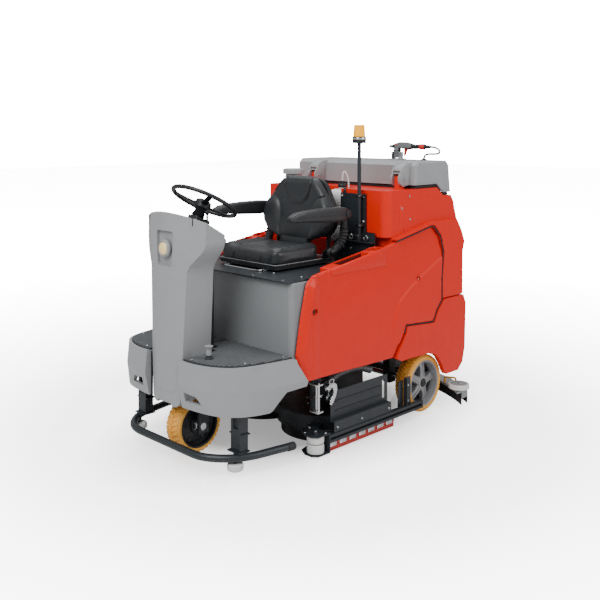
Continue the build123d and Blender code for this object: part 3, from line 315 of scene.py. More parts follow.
cam = bpy.data.cameras.new("camera")
cam_o = bpy.data.objects.new("camera", cam)
bpy.context.collection.objects.link(cam_o)
cam.sensor_width, cam.lens = 36.0, 838.0 / 600.0 * 36.0
cam_o.location = (3.504, -2.745 + D0, 1.69)
cam_o.rotation_euler = (math.radians(90), 0, math.radians(45))
cam.clip_end = 100
d = cam.driver_add("shift_y").driver
d.type = "SUM"
v = d.variables.new()
v.name, v.type = "z", "TRANSFORMS"
v.targets[0].id = cam_o
v.targets[0].transform_type = "LOC_Z"
shift = cam.animation_data.drivers[0]
for m in list(shift.modifiers):
    shift.modifiers.remove(m)
for fx, fy in ((1.675, 0.0), (1.69, -0.28667), (1.705, 0.0)):
    k = shift.keyframe_points.insert(fx, fy)
    k.interpolation = "LINEAR"
shift.extrapolation = "CONSTANT"
bpy.context.scene.camera = cam_o
cam_o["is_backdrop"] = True


# ------------------------------------------------------------ mesh helpers
def obj_from(name, bm, mat, body, smooth=30, replaces=(), slot=None):
    me = bpy.data.meshes.new(name)
    bmesh.ops.recalc_face_normals(bm, faces=bm.faces)
    bm.to_mesh(me)
    bm.free()
    o = bpy.data.objects.new(name, me)
    bpy.context.collection.objects.link(o)
    paint(o, mat)
    finish_piece(o, body, smooth, replaces)
    return o


def finish_piece(o, body, smooth=30, replaces=()):
    if smooth:
        shade(o, smooth)
    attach(o, body)
    if replaces:
        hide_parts(*replaces)


def shade(o, angle=30):
    me = o.data
    me.polygons.foreach_set("use_smooth", [True] * len(me.polygons))
    bm = bmesh.new()
    bm.from_mesh(me)
    lim = math.radians(angle)
    for e in bm.edges:
        e.smooth = not (len(e.link_faces) == 2 and e.calc_face_angle(0) > lim)
    bm.to_mesh(me)
    bm.free()


AXES = {"X": (0, (1, 2)), "Y": (1, (0, 2)), "Z": (2, (0, 1))}


def prism(name, pts, axis, a, b, mat, body, bev=0.0, seg=2, bev_angle=35, **k):
    # pts: outline in the two other axes, extruded along axis from a to b; Y values are stations in the caller
    k0, (i, j) = AXES[axis]
    bm = bmesh.new()
    vs = []
    for p in pts:
        c = [0, 0, 0]
        c[i], c[j], c[k0] = p[0], p[1], a
        vs.append(bm.verts.new(c))
    f = bm.faces.new(vs)
    r = bmesh.ops.extrude_face_region(bm, geom=[f])
    d = [0, 0, 0]
    d[k0] = b - a
    bmesh.ops.translate(bm, vec=d, verts=[v for v in r["geom"] if isinstance(v, bmesh.types.BMVert)])
    if bev:
        bmesh.ops.recalc_face_normals(bm, faces=bm.faces)
        es = [e for e in bm.edges if len(e.link_faces) == 2 and e.calc_face_angle(0) > math.radians(bev_angle)]
        bmesh.ops.bevel(bm, geom=es, offset=bev, segments=seg, profile=0.5, affect="EDGES", clamp_overlap=True)
    return obj_from(name, bm, mat, body, **k)


def rbox(name, lo, hi, mat, body, bev=0.003, seg=2, **k):
    bm = bmesh.new()
    bmesh.ops.create_cube(bm, size=1)
    for v in bm.verts:
        v.co = Vector([lo[i] + (v.co[i] + 0.5) * (hi[i] - lo[i]) for i in range(3)])
    if bev:
        bmesh.ops.bevel(bm, geom=list(bm.edges), offset=bev, segments=seg, profile=0.5, affect="EDGES", clamp_overlap=True)
    return obj_from(name, bm, mat, body, **k)


def frame_of(axis):
    z = Vector(axis).normalized()
    x = Vector((1, 0, 0)) if abs(z.x) < 0.8 else Vector((0, 1, 0))
    y = z.cross(x).normalized()
    x = y.cross(z).normalized()
    return x, y, z


def lathe_bm(bm, profile, origin, axis, seg=48, close=True):
    # profile: (radius, along) pairs about the axis through origin
    x, y, z = frame_of(axis)
    o = Vector(origin)
    rings = []
    for r, h in profile:
        if r < 1e-6:
            rings.append([bm.verts.new(o + z * h)])
        else:
            rings.append([bm.verts.new(o + z * h + (x * math.cos(2 * math.pi * i / seg) + y * math.sin(2 * math.pi * i / seg)) * r)
                          for i in range(seg)])
    for a, b in zip(rings, rings[1:]):
        for i in range(seg):
            j = (i + 1) % seg
            if len(a) == 1 and len(b) == 1:
                continue
            if len(a) == 1:
                bm.faces.new((a[0], b[i], b[j]))
            elif len(b) == 1:
                bm.faces.new((a[i], a[j], b[0]))
            else:
                bm.faces.new((a[i], a[j], b[j], b[i]))


def lathe(name, profile, origin, axis, mat, body, seg=48, **k):
    bm = bmesh.new()
    lathe_bm(bm, profile, origin, axis, seg)
    return obj_from(name, bm, mat, body, **k)


def rod(name, p0, p1, r, mat, body, seg=24, bev=0.001, **k):
    p0, p1 = Vector(p0), Vector(p1)
    h = (p1 - p0).length
    e = min(bev, r * 0.4, h * 0.4)
    return lathe(name, [(0, 0), (r - e, 0), (r, e), (r, h - e), (r - e, h), (0, h)], p0, p1 - p0, mat, body, seg, **k)


def smooth_path(pts, n=8):
    # Catmull-Rom through the points
    P = [Vector(p) for p in pts]
    P = [P[0] * 2 - P[1]] + P + [P[-1] * 2 - P[-2]]
    out = []
    for i in range(1, len(P) - 2):
        a, b, c, e = P[i - 1], P[i], P[i + 1], P[i + 2]
        for k in range(n):
            t = k / n
            out.append(0.5 * ((2 * b) + (c - a) * t + (2 * a - 5 * b + 4 * c - e) * t * t + (3 * b - a - 3 * c + e) * t ** 3))
    out.append(P[-2])
    return out


def tube(name, pts, r, mat, body, seg=14, n=8, smooth_pts=True, profile=None, **k):
    path = smooth_path(pts, n) if smooth_pts else [Vector(p) for p in pts]
    bm = bmesh.new()
    rings = []
    t0 = (path[1] - path[0]).normalized()
    x, y, _ = frame_of(t0)
    for i, p in enumerate(path):
        t = (path[min(i + 1, len(path) - 1)] - path[max(i - 1, 0)]).normalized()
        x = (x - t * x.dot(t)).normalized()
        y = t.cross(x)
        shape = profile(i / (len(path) - 1)) if profile else None
        ring = []
        for q in range(seg):
            a = 2 * math.pi * q / seg
            rr = shape if shape else r
            ring.append(bm.verts.new(p + (x * math.cos(a) + y * math.sin(a)) * rr))
        rings.append(ring)
    for a, b in zip(rings, rings[1:]):
        for i in range(seg):
            j = (i + 1) % seg
            bm.faces.new((a[i], a[j], b[j], b[i]))
    bm.faces.new(list(reversed(rings[0])))
    bm.faces.new(rings[-1])
    return obj_from(name, bm, mat, body, **k)


def loft_rings(name, rings, mat, body, caps=True, **k):
    # rings: lists of points, all of one length
    bm = bmesh.new()
    R = [[bm.verts.new(p) for p in ring] for ring in rings]
    m = len(R[0])
    for a, b in zip(R, R[1:]):
        for i in range(m):
            j = (i + 1) % m
            bm.faces.new((a[i], a[j], b[j], b[i]))
    if caps:
        bm.faces.new(list(reversed(R[0])))
        bm.faces.new(R[-1])
    return obj_from(name, bm, mat, body, **k)


def round_poly(pts, rad, n=5):
    # round the corners of a 2-D outline; rad is one radius or one per corner
    out = []
    m = len(pts)
    for i, p in enumerate(pts):
        r = rad[i] if isinstance(rad, (list, tuple)) else rad
        p = Vector(p)
        a, b = Vector(pts[i - 1]) - p, Vector(pts[(i + 1) % m]) - p
        la, lb = a.length, b.length
        if r <= 0 or la < 1e-9 or lb < 1e-9:
            out.append(tuple(p))
            continue
        a.normalize(), b.normalize()
        ang = a.angle(b)
        t = min(r / max(1e-6, math.tan(ang / 2)), la * 0.48, lb * 0.48)
        s0, s1 = p + a * t, p + b * t
        for k in range(n + 1):
            u = k / n
            out.append(tuple(s0 * (1 - u) ** 2 + p * 2 * u * (1 - u) + s1 * u * u))
    return out


def join(name, objs):
    bpy.ops.object.select_all(action="DESELECT")
    for o in objs:
        o.select_set(True)
    bpy.context.view_layer.objects.active = objs[0]
    bpy.ops.object.join()
    objs[0].name = name
    return objs[0]


def screw(name, p, axis, r, mat, body, h=0.003):
    # domed head with a hexagon socket
    bm = bmesh.new()
    lathe_bm(bm, [(r * 0.42, -0.0005), (r * 0.42, h * 0.75), (r * 0.72, h), (r * 0.95, h * 0.6), (r, 0), (r, -0.002)], p, axis, 20)
    o = obj_from(name, bm, mat, body, smooth=40)
    return o

# ------------------------------------------------------------------ wheels
def tyre(name, centre, r, w, r_in, body, node, rows=2, blocks=40, depth=0.007, slant=0.10, side_sign=1):
    # solid tyre about X: a rounded carcass with slanted tread blocks
    cx, cy, cz = centre
    bm = bmesh.new()
    rc = r - depth
    h = w / 2
    prof = [(r_in, -h + 0.004), (r_in + 0.002, -h + 0.001), (rc - 0.016, -h), (rc - 0.006, -h + 0.003), (rc, -h + 0.012),
            (rc, 0), (rc, h - 0.012), (rc - 0.006, h - 0.003), (rc - 0.016, h), (r_in + 0.002, h - 0.001), (r_in, h - 0.004),
            (r_in, -h + 0.004)]
    lathe_bm(bm, prof, centre, (1, 0, 0), 96)
    band = (w - 0.010) / rows
    for row in range(rows):
        x0 = -w / 2 + 0.005 + row * band + 0.0025
        x1 = x0 + band - 0.005
        for b in range(blocks):
            a0 = 2 * math.pi * (b + 0.5 * (row % 2)) / blocks
            da = 2 * math.pi / blocks * 0.66
            sl = slant * (1 if row % 2 == 0 else -1)
            vs = []
            for rr, inset in ((rc - 0.003, 0.0), (r - 0.0012, 0.0), (r, 0.0018)):
                ring = []
                for (xx, aa) in ((x0 + inset, a0 - sl / 2 + inset / r), (x0 + inset, a0 + da - sl / 2 - inset / r),
                                 (x1 - inset, a0 + da + sl / 2 - inset / r), (x1 - inset, a0 + sl / 2 + inset / r)):
                    edge = abs(xx) > w / 2 - 0.012
                    q = rr - (0.0028 if edge else 0.0)
                    ring.append(bm.verts.new((cx + xx, cy + q * math.cos(aa), cz + q * math.sin(aa))))
                vs.append(ring)
            for A, B in zip(vs, vs[1:]):
                for i in range(4):
                    j = (i + 1) % 4
                    bm.faces.new((A[i], A[j], B[j], B[i]))
            bm.faces.new(vs[-1])
            bm.faces.new(list(reversed(vs[0])))
    return obj_from(name, bm, "tyre", body, smooth=38, replaces=(node,), slot="wheel_yellow")


REAR_C = (0.45, st(1.310), 0.170)
tyre("rear_left_tyre_tread", REAR_C, 0.170, 0.100, 0.135, "rear_left_wheel", "rear_left_tyre", 2, 46)
tyre("rear_right_tyre_tread", (-0.45, REAR_C[1], REAR_C[2]), 0.170, 0.100, 0.135, "rear_right_wheel", "rear_right_tyre", 2, 46)
FRONT_C = (0.0, st(-0.030), 0.145)
tyre("drive_tyre_tread", FRONT_C, 0.145, 0.110, 0.117, "drive_wheel", "drive_tyre", 2, 34, slant=0.12)


def cast_rim(name, centre, sx, body, node):
    # cast wheel with five webbed spokes set back from the rim's lip
    cx, cy, cz = centre
    parts = []
    bm = bmesh.new()
    R = 0.1348
    x = lambda v: v * sx
    lip = [(R, -0.048), (R, 0.048), (R - 0.007, 0.049), (R - 0.010, 0.046), (R - 0.012, 0.020), (R - 0.018, 0.004),
           (R - 0.014, -0.010), (R - 0.010, -0.046), (R - 0.007, -0.049), (R, -0.048)]
    lathe_bm(bm, [(r, x(h)) for r, h in lip], centre, (1, 0, 0), 80)
    hub = [(0.0165, -0.040), (0.036, -0.040), (0.038, -0.036), (0.040, 0.010), (0.040, 0.030), (0.037, 0.036),
           (0.027, 0.038), (0.024, 0.034), (0.0, 0.034)]
    lathe_bm(bm, [(r, x(h)) for r, h in hub], centre, (1, 0, 0), 48)
    for k in range(5):
        a = 2 * math.pi * k / 5 + math.radians(8)
        d = Vector((0, math.cos(a), math.sin(a)))
        t = Vector((0, -math.sin(a), math.cos(a)))
        c = Vector(centre)
        secs = []
        for rr, wid, x0, x1 in ((0.030, 0.024, -0.020, 0.034), (0.055, 0.019, -0.018, 0.032), (0.085, 0.020, -0.012, 0.026),
                                (0.108, 0.026, -0.008, 0.018), (0.122, 0.036, -0.008, 0.010)):
            ring = []
            for (u, xx) in ((-1, x0), (-1, x1 - 0.006), (-0.62, x1), (0.62, x1), (1, x1 - 0.006), (1, x0)):
                ring.append(bm.verts.new(c + d * rr + t * (u * wid) + Vector((x(xx), 0, 0))))
            secs.append(ring)
        for A, B in zip(secs, secs[1:]):
            for i in range(6):
                j = (i + 1) % 6
                bm.faces.new((A[i], A[j], B[j], B[i]))
        bm.faces.new(secs[0])
        bm.faces.new(list(reversed(secs[-1])))
        # rib down the middle of the spoke
        secs = []
        for rr, x1 in ((0.036, 0.0375), (0.060, 0.036), (0.090, 0.029), (0.112, 0.020)):
            ring = []
            for (u, xx) in ((-0.004, x1 - 0.008), (-0.0028, x1), (0.0028, x1), (0.004, x1 - 0.008)):
                ring.append(bm.verts.new(c + d * rr + t * u + Vector((x(xx), 0, 0))))
            secs.append(ring)
        for A, B in zip(secs, secs[1:]):
            for i in range(4):
                j = (i + 1) % 4
                bm.faces.new((A[i], A[j], B[j], B[i]))
        bm.faces.new(secs[-1])
    o = obj_from(name, bm, "cast", body, smooth=32, replaces=(node,), slot="cast_grey")
    # thin web behind the spokes
    web = lathe(name + "_web", [(0.036, x(-0.010)), (0.125, x(-0.016)), (0.125, x(-0.020)), (0.036, x(-0.014)), (0.036, x(-0.010))],
                centre, (1, 0, 0), "black", body, 60)
    cap = lathe(name + "_cap", [(0.0235, x(0.0335)), (0.0235, x(0.040)), (0.019, x(0.044)), (0.0, x(0.0455))], centre, (1, 0, 0),
                "black", body, 32, smooth=50)
    return o


cast_rim("rear_left_cast_rim", REAR_C, 1, "rear_left_wheel", "rear_left_rim")
cast_rim("rear_right_cast_rim", (-0.45, REAR_C[1], REAR_C[2]), -1, "rear_right_wheel", "rear_right_rim")


def drive_rim():
    c = FRONT_C
    bm = bmesh.new()
    R = 0.1168
    lip = [(R, -0.053), (R, 0.053), (R - 0.005, 0.0545), (R - 0.009, 0.052), (R - 0.012, 0.030), (R - 0.022, 0.020),
           (0.060, 0.026), (0.050, 0.030), (0.046, 0.042), (0.040, 0.046), (0.0, 0.046)]
    lathe_bm(bm, lip, c, (1, 0, 0), 72)
    lip2 = [(R, -0.053), (R - 0.005, -0.0545), (R - 0.009, -0.052), (R - 0.012, -0.030), (R - 0.020, -0.020), (0.060, -0.024),
            (0.020, -0.026), (0.020, -0.083), (0.0, -0.083)]
    lathe_bm(bm, lip2, c, (1, 0, 0), 72)
    o = obj_from("drive_rim_dish", bm, "black", "drive_wheel", smooth=32, replaces=("drive_rim",), slot="black_plastic")
    # dark slots, wheel bolts and the pale hub cap
    for k in range(6):
        a = 2 * math.pi * k / 6
        p = Vector(c) + Vector((0.0225, 0.084 * math.cos(a), 0.084 * math.sin(a)))
        lathe("drive_rim_boss_%d" % k, [(0.013, -0.004), (0.012, 0.003), (0.008, 0.0045), (0.0, 0.0045)], p, (1, 0, 0), "dark",
              "drive_wheel", 20, smooth=40)
        a += math.pi / 6
        p = Vector(c) + Vector((0.044, 0.030 * math.cos(a), 0.030 * math.sin(a)))
        lathe("drive_wheel_bolt_%d" % k, [(0.0065, 0), (0.0065, 0.006), (0.0045, 0.0075), (0, 0.0075)], p, (1, 0, 0), "steel",
              "drive_wheel", 6, smooth=20)
    lathe("drive_hub_cap", [(0.023, 0.044), (0.023, 0.056), (0.019, 0.061), (0.009, 0.063), (0, 0.063)], c, (1, 0, 0), "white",
          "drive_wheel", 36, smooth=40)
    rod("drive_wheel_axle_left", Vector(c) + Vector((0.060, 0, 0)), Vector(c) + Vector((0.083, 0, 0)), 0.0195, "steel", "drive_wheel")


drive_rim()

# -------------------------------------------------------------------- seat
def simulate(o, pressure=4.0, cap=0.006, pin_z=None, voxel=0.006):
    # cloth blown up a little from inside, with its movement held under cap, then applied
    rest_lo, rest_hi = None, None
    m = o.modifiers.new("remesh", "REMESH")
    m.mode, m.voxel_size = "VOXEL", voxel
    bpy.context.view_layer.objects.active = o
    bpy.ops.object.select_all(action="DESELECT")
    o.select_set(True)
    bpy.ops.object.modifier_apply(modifier="remesh")
    before = [v.co.copy() for v in o.data.vertices]
    if pin_z is not None:
        g = o.vertex_groups.new(name="pin")
        g.add([v.index for v in o.data.vertices if pin_z(v.co)], 1.0, "REPLACE")
    c = o.modifiers.new("cloth", "CLOTH")
    s = c.settings
    s.quality = 4
    s.mass = 0.3
    s.tension_stiffness = s.compression_stiffness = 20
    s.shear_stiffness = 8
    s.bending_stiffness = 2
    s.use_pressure = True
    s.uniform_pressure_force = pressure
    s.effector_weights.gravity = 0
    if pin_z is not None:
        s.vertex_group_mass = "pin"
    c.collision_settings.use_self_collision = False
    c.collision_settings.use_collision = False
    c.point_cache.frame_start, c.point_cache.frame_end = 1, 20
    sc = bpy.context.scene
    for f in range(1, 21):
        sc.frame_set(f)
    bpy.ops.object.modifier_apply(modifier="cloth")
    sc.frame_set(1)
    for v, b in zip(o.data.vertices, before):
        d = v.co - b
        if d.length > cap:
            v.co = b + d.normalized() * cap
    sm = o.modifiers.new("smooth", "CORRECTIVE_SMOOTH")
    sm.iterations, sm.use_only_smooth, sm.factor = 5, True, 0.5
    bpy.ops.object.modifier_apply(modifier="smooth")
    su = o.modifiers.new("fine", "SUBSURF")
    su.levels = su.render_levels = 1
    bpy.ops.object.modifier_apply(modifier="fine")
    o.data.polygons.foreach_set("use_smooth", [True] * len(o.data.polygons))


def grid_solid(name, nu, nv, top, bottom, mat):
    # closed solid between two height fields over the same grid
    bm = bmesh.new()
    T = [[bm.verts.new(top(i / nu, j / nv)) for j in range(nv + 1)] for i in range(nu + 1)]
    B = [[bm.verts.new(bottom(i / nu, j / nv)) for j in range(nv + 1)] for i in range(nu + 1)]
    for i in range(nu):
        for j in range(nv):
            bm.faces.new((T[i][j], T[i + 1][j], T[i + 1][j + 1], T[i][j + 1]))
            bm.faces.new((B[i][j], B[i][j + 1], B[i + 1][j + 1], B[i + 1][j]))
    edge = [(i, 0) for i in range(nu)] + [(nu, j) for j in range(nv)] + [(i, nv) for i in range(nu, 0, -1)] + [(0, j) for j in range(nv, 0, -1)]
    for (a, b), (c, d) in zip(edge, edge[1:] + edge[:1]):
        bm.faces.new((T[a][b], B[a][b], B[c][d], T[c][d]))
    bmesh.ops.recalc_face_normals(bm, faces=bm.faces)
    me = bpy.data.meshes.new(name)
    bm.to_mesh(me)
    bm.free()
    o = bpy.data.objects.new(name, me)
    bpy.context.collection.objects.link(o)
    paint(o, mat)
    return o


def squircle(u, v, half, depth, rc):
    # maps the unit square to a rounded rectangle (x across, y along)
    x, y = (u * 2 - 1), (v * 2 - 1)
    X, Y = x * half, y * depth
    ox, oy = abs(X) - (half - rc), abs(Y) - (depth - rc)
    if ox > 0 and oy > 0:
        m = max(ox, oy)
        l = math.hypot(ox, oy)
        k = m / l if l > 1e-9 else 1
        X = math.copysign(half - rc + ox * k, X)
        Y = math.copysign(depth - rc + oy * k, Y)
    return X, Y


SEAT_Y0, SEAT_Y1, SEAT_HALF = st(0.333), st(0.690), 0.243


def cushion_top(u, v):
    X, Y = squircle(u, v, SEAT_HALF, (SEAT_Y1 - SEAT_Y0) / 2, 0.06)
    yy = (SEAT_Y0 + SEAT_Y1) / 2 + Y
    # side bolsters stand a little above the middle, and the front rolls down
    side = max(0.0, (abs(X) - 0.14) / 0.10)
    z = 1.026 + 0.010 * math.exp(-((abs(X) - 0.190) / 0.035) ** 2)
    z -= 0.006 * math.exp(-((abs(X) - 0.125) / 0.008) ** 2) * (1 if yy > SEAT_Y0 + 0.07 else 0)
    z -= 0.006 * math.exp(-(((yy - SEAT_Y0) - 0.075 + 1.1 * X * X) / 0.008) ** 2) * (1 if abs(X) < 0.13 else 0)
    f = (yy - SEAT_Y0) / 0.07
    if f < 1:
        z -= 0.018 * (1 - f) ** 2
    edge = min(SEAT_HALF - abs(X), yy - SEAT_Y0, SEAT_Y1 - yy)
    if edge < 0.030:
        z -= 0.030 - math.sqrt(max(0.0, 0.030 ** 2 - (0.030 - edge) ** 2))
    return (X, yy, z)


def cushion_bottom(u, v):
    X, Y = squircle(u, v, SEAT_HALF - 0.004, (SEAT_Y1 - SEAT_Y0) / 2 - 0.004, 0.06)
    return (X, (SEAT_Y0 + SEAT_Y1) / 2 + Y, 0.9515)


cush = grid_solid("seat_cushion_cover", 56, 44, cushion_top, cushion_bottom, "vinyl")
simulate(cush, 4.0, 0.004, pin_z=lambda c: c.z < 0.962)
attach(cush, "seat"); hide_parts("seat_cushion")

# backrest: outline in X and Z, with the front face leaning back
HALF_W = [(1.034, 0.112), (1.044, 0.128), (1.056, 0.168), (1.072, 0.208), (1.10, 0.246), (1.13, 0.268), (1.165, 0.278),
          (1.20, 0.276), (1.25, 0.257), (1.30, 0.222), (1.34, 0.190), (1.37, 0.163), (1.39, 0.141), (1.402, 0.118), (1.409, 0.085)]
# the seam that bounds each side bolster, and the U under the shoulders
BOLSTER = [(1.036, 0.106), (1.060, 0.116), (1.100, 0.122), (1.150, 0.122), (1.200, 0.124), (1.225, 0.128), (1.250, 0.138),
           (1.268, 0.152), (1.284, 0.172), (1.298, 0.198), (1.304, 0.214)]
U_SEAM = [(0.104, 1.404), (0.103, 1.370), (0.098, 1.335), (0.086, 1.302), (0.064, 1.275), (0.034, 1.261), (0.0, 1.2575)]


def along(table, z):
    if z <= table[0][0]:
        return table[0][1]
    for (z0, w0), (z1, w1) in zip(table, table[1:]):
        if z <= z1:
            t = (z - z0) / (z1 - z0)
            return w0 + (w1 - w0) * t
    return table[-1][1]


def half_width(z):
    return along(HALF_W, z)


BZ0, BZ1 = 1.036, 1.408


def back_plane(z):
    return st(0.765 + (z - 1.04) * 25 / 380)


def front_plane(z):
    return st(0.704 + (z - 1.04) * 42 / 380)


def gap_to(pts, x, z):
    best = 1.0
    for (x0, z0), (x1, z1) in zip(pts, pts[1:]):
        dx, dz = x1 - x0, z1 - z0
        t = max(0.0, min(1.0, ((x - x0) * dx + (z - z0) * dz) / (dx * dx + dz * dz)))
        best = min(best, math.hypot(x - x0 - dx * t, z - z0 - dz * t))
    return best


ARC = [(w_, z_) for z_, w_ in BOLSTER]


def back_front(u, v):
    z = BZ0 + (BZ1 - BZ0) * v
    hw = half_width(z)
    X = (u * 2 - 1) * hw
    y = front_plane(z)
    ax = abs(X)
    # side bolsters swell forward of the middle, and the middle is dished over the lower back
    if z < 1.30 and ax > along(BOLSTER, z):
        t = min(1.0, (ax - along(BOLSTER, z)) / 0.05)
        y -= 0.016 * math.sin(t * math.pi / 2) * min(1.0, (1.30 - z) / 0.05)
    y -= 0.010 * math.exp(-((z - 1.13) / 0.07) ** 2) * max(0.0, 1 - (ax / 0.13) ** 2)
    # panel inside the U sits a little proud at its foot
    if z > 1.262 and ax < 0.103:
        y += 0.004 * min(1.0, gap_to(U_SEAM, ax, z) / 0.02)
    for line in (ARC, U_SEAM):
        g = gap_to(line, ax, z)
        y += 0.0045 * math.exp(-(g / 0.006) ** 2)
    edge = min((hw - ax) if z > 1.05 else 1, BZ1 - z)
    if edge < 0.030:
        y += 0.030 - math.sqrt(max(0.0, 0.030 ** 2 - (0.030 - edge) ** 2))
    low = z - BZ0
    if low < 0.02:
        y += 0.012 * (1 - low / 0.02) ** 2
    return (X, y, z)


def back_rear(u, v):
    z = BZ0 + (BZ1 - BZ0) * v
    X = (u * 2 - 1) * (half_width(z) - 0.003)
    return (X, back_plane(z) - 0.0005, z)


backc = grid_solid("backrest_cover", 72, 60, back_front, back_rear, "vinyl")
simulate(backc, 4.0, 0.003, pin_z=lambda c: c.y > back_plane(c.z) - 0.010, voxel=0.005)
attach(backc, "backrest"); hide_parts("backrest_cushion")


def on_back(X, z, lift=0.0):
    hw = half_width(z)
    u = (X / hw + 1) / 2
    p = back_front(u, (z - BZ0) / (BZ1 - BZ0))
    return (p[0], p[1] - lift, p[2])


def on_seat(x, y, lift=0.0):
    # nearest point of the cushion's top, ignoring its rounded corners
    u, v = (x / SEAT_HALF + 1) / 2, (y - SEAT_Y0) / (SEAT_Y1 - SEAT_Y0)
    p = cushion_top(u, v)
    return (p[0], p[1], p[2] + lift)


# piping along the seams: twin cords round the U, one down each bolster
for k, (off, r) in enumerate(((0.0, 0.0030), (0.0095, 0.0024))):
    U = [(x + off * (0.6 if z > 1.30 else 1.0), z - off * (0.0 if z > 1.33 else 1.0)) for x, z in U_SEAM]
    pts = [on_back(x, z, 0.0042) for x, z in U] + [on_back(-x, z, 0.0042) for x, z in reversed(U[:-1])]
    tube("backrest_u_piping_%d" % k, pts, r, "piping", "backrest", seg=8, n=6)
for sx, tg in ((1, "l"), (-1, "r")):
    tube("backrest_bolster_piping_" + tg, [on_back(sx * x, z, 0.0038) for x, z in ARC], 0.0028, "piping", "backrest", seg=8, n=5)
    zs = [1.315 + i * 0.075 / 6 for i in range(7)]
    tube("backrest_side_piping_" + tg, [on_back(sx * (half_width(z) - 0.024), z, 0.002) for z in zs], 0.0024, "piping", "backrest", seg=8, n=3)
# seams on the cushion
for sx in (-1, 1):
    tube("seat_side_seam_%s" % ("l" if sx > 0 else "r"),
         [on_seat(sx * 0.125, st(yy), 0.0045) for yy in [0.398 + i * 0.272 / 14 for i in range(15)]],
         0.0026, "piping", "seat", seg=8, n=3)
tube("seat_front_seam", [on_seat(x, SEAT_Y0 + 0.075 - 1.1 * x * x, 0.0045) for x in [-0.128 + i * 0.256 / 14 for i in range(15)]], 0.0026,
     "piping", "seat", seg=8, n=3)
# short stitched tucks down the front roll
for k, x in enumerate((-0.112, 0.112)):
    tube("seat_front_tuck_%d" % k, [(x, SEAT_Y0 + 0.026, 1.0065), (x, SEAT_Y0 + 0.012, 0.999), (x, SEAT_Y0 + 0.0035, 0.985), (x, SEAT_Y0 + 0.0005, 0.970), (x, SEAT_Y0 + 0.002, 0.958)], 0.0022,
         "piping", "seat", seg=8, n=5)

# ------------------------------------------------------- steering and dash
HUB = Vector((0, st(0.040), 1.300))
AX = Vector((0, math.sin(math.radians(30)), math.cos(math.radians(30))))
WX, WY = Vector((1, 0, 0)), AX.cross(Vector((1, 0, 0)))


def on_wheel(r, a, h=0.0):
    return HUB + WX * (r * math.cos(a)) + WY * (r * math.sin(a)) + AX * h


def steering():
    R, N, Q = 0.1765, 96, 16
    bm = bmesh.new()
    rings = []
    for i in range(N):
        a = 2 * math.pi * i / N
        ring = []
        for q in range(Q):
            b = 2 * math.pi * q / Q
            # finger grips under the rim
            k = 1 + 0.05 * math.cos(a * 30) * (1 if math.sin(b) < -0.3 else 0)
            ring.append(bm.verts.new(on_wheel(R + 0.0125 * math.cos(b), a, 0.0115 * k * math.sin(b))))
        rings.append(ring)
    for i in range(N):
        A, B = rings[i], rings[(i + 1) % N]
        for q in range(Q):
            j = (q + 1) % Q
            bm.faces.new((A[q], B[q], B[j], A[j]))
    rim = obj_from("steering_rim", bm, "black", "steering", smooth=50, replaces=("steering_wheel",), slot="black_plastic")
    for k, deg in enumerate((90, 210, 330)):
        a = math.radians(deg)
        secs = []
        for r, h, wid, th in ((0.026, -0.020, 0.022, 0.008), (0.05, -0.0185, 0.019, 0.0065), (0.10, -0.011, 0.015, 0.0055), (0.14, -0.004, 0.014, 0.0055),
                              (0.168, 0.0, 0.017, 0.0065)):
            c = on_wheel(r, a, h)
            t = -WX * math.sin(a) + WY * math.cos(a)
            ring = [c + t * (wid * math.cos(2 * math.pi * q / 14)) + AX * (th * math.sin(2 * math.pi * q / 14)) for q in range(14)]
            secs.append(ring)
        loft_rings("steering_spoke_%d" % k, secs, "black", "steering", smooth=50)
    lathe("steering_hub", [(0.012, -0.085), (0.034, -0.048), (0.043, -0.040), (0.045, -0.012), (0.040, 0.0), (0.030, 0.004), (0.0, 0.005)],
          HUB, AX, "black", "steering", 44, smooth=40)
    lathe("steering_hub_badge", [(0.029, 0.0035), (0.027, 0.0062), (0.0, 0.0072)], HUB, AX, "dark", "steering", 36, smooth=50)
    lathe("steering_shaft", [(0.0118, -0.149), (0.0118, -0.08), (0.0, -0.08)], HUB, AX, "steel", "steering", 28, smooth=50)
    # gaiter between the boss and the hub
    prof = []
    for i in range(9):
        prof += [(0.0270 + 0.0012 * i, -0.050 - 0.0045 * i), (0.0225 + 0.0012 * i, -0.0522 - 0.0045 * i)]
    lathe("steering_gaiter", prof, HUB, AX, "rubber", "steering", 36, smooth=60)


steering()
# knob of the small lever
lathe("lever_knob", [(0, -0.013), (0.008, -0.012), (0.0125, -0.004), (0.0125, 0.004), (0.008, 0.012), (0, 0.0135)], (0.070, st(0.004), 1.250),
      (0, 0, 1), "black", "lever", 24, smooth=60)
rod("lever_ferrule", (0.070, st(0.004), 1.236), (0.070, st(0.004), 1.242), 0.0065, "steel", "lever", 20)

# ------------------------------------------------------------------ column
def nose_y(x, lift=0.0):
    return st(-0.220 + 1.27 * x * x) - lift


def patch(name, zs, xl, xr, yf, lift, mat, body, n=24, edge=0.004, **k):
    # raised patch on a curved face: rows between xl(z) and xr(z), rolled down to the face at its border
    bm = bmesh.new()
    R = []
    for i, z in enumerate(zs):
        a, b = xl(z), xr(z)
        row = []
        for j in range(n + 1):
            x = a + (b - a) * j / n
            dist = min(x - a, b - x, (z - zs[0]), (zs[-1] - z))
            up = lift * min(1.0, math.sqrt(max(0.0, dist) / edge)) if dist < edge else lift
            row.append(bm.verts.new((x, yf(x, z) - up + 0.0006, z)))
        R.append(row)
    for a, b in zip(R, R[1:]):
        for j in range(n):
            bm.faces.new((a[j], a[j + 1], b[j + 1], b[j]))
    return obj_from(name, bm, mat, body, smooth=60, **k)


def fine_steps(a, b, n, edge=0.004):
    zs = [a, a + edge * 0.15, a + edge * 0.5, a + edge]
    zs += [a + edge + (b - a - 2 * edge) * i / n for i in range(1, n)]
    return zs + [b - edge, b - edge * 0.5, b - edge * 0.15, b]


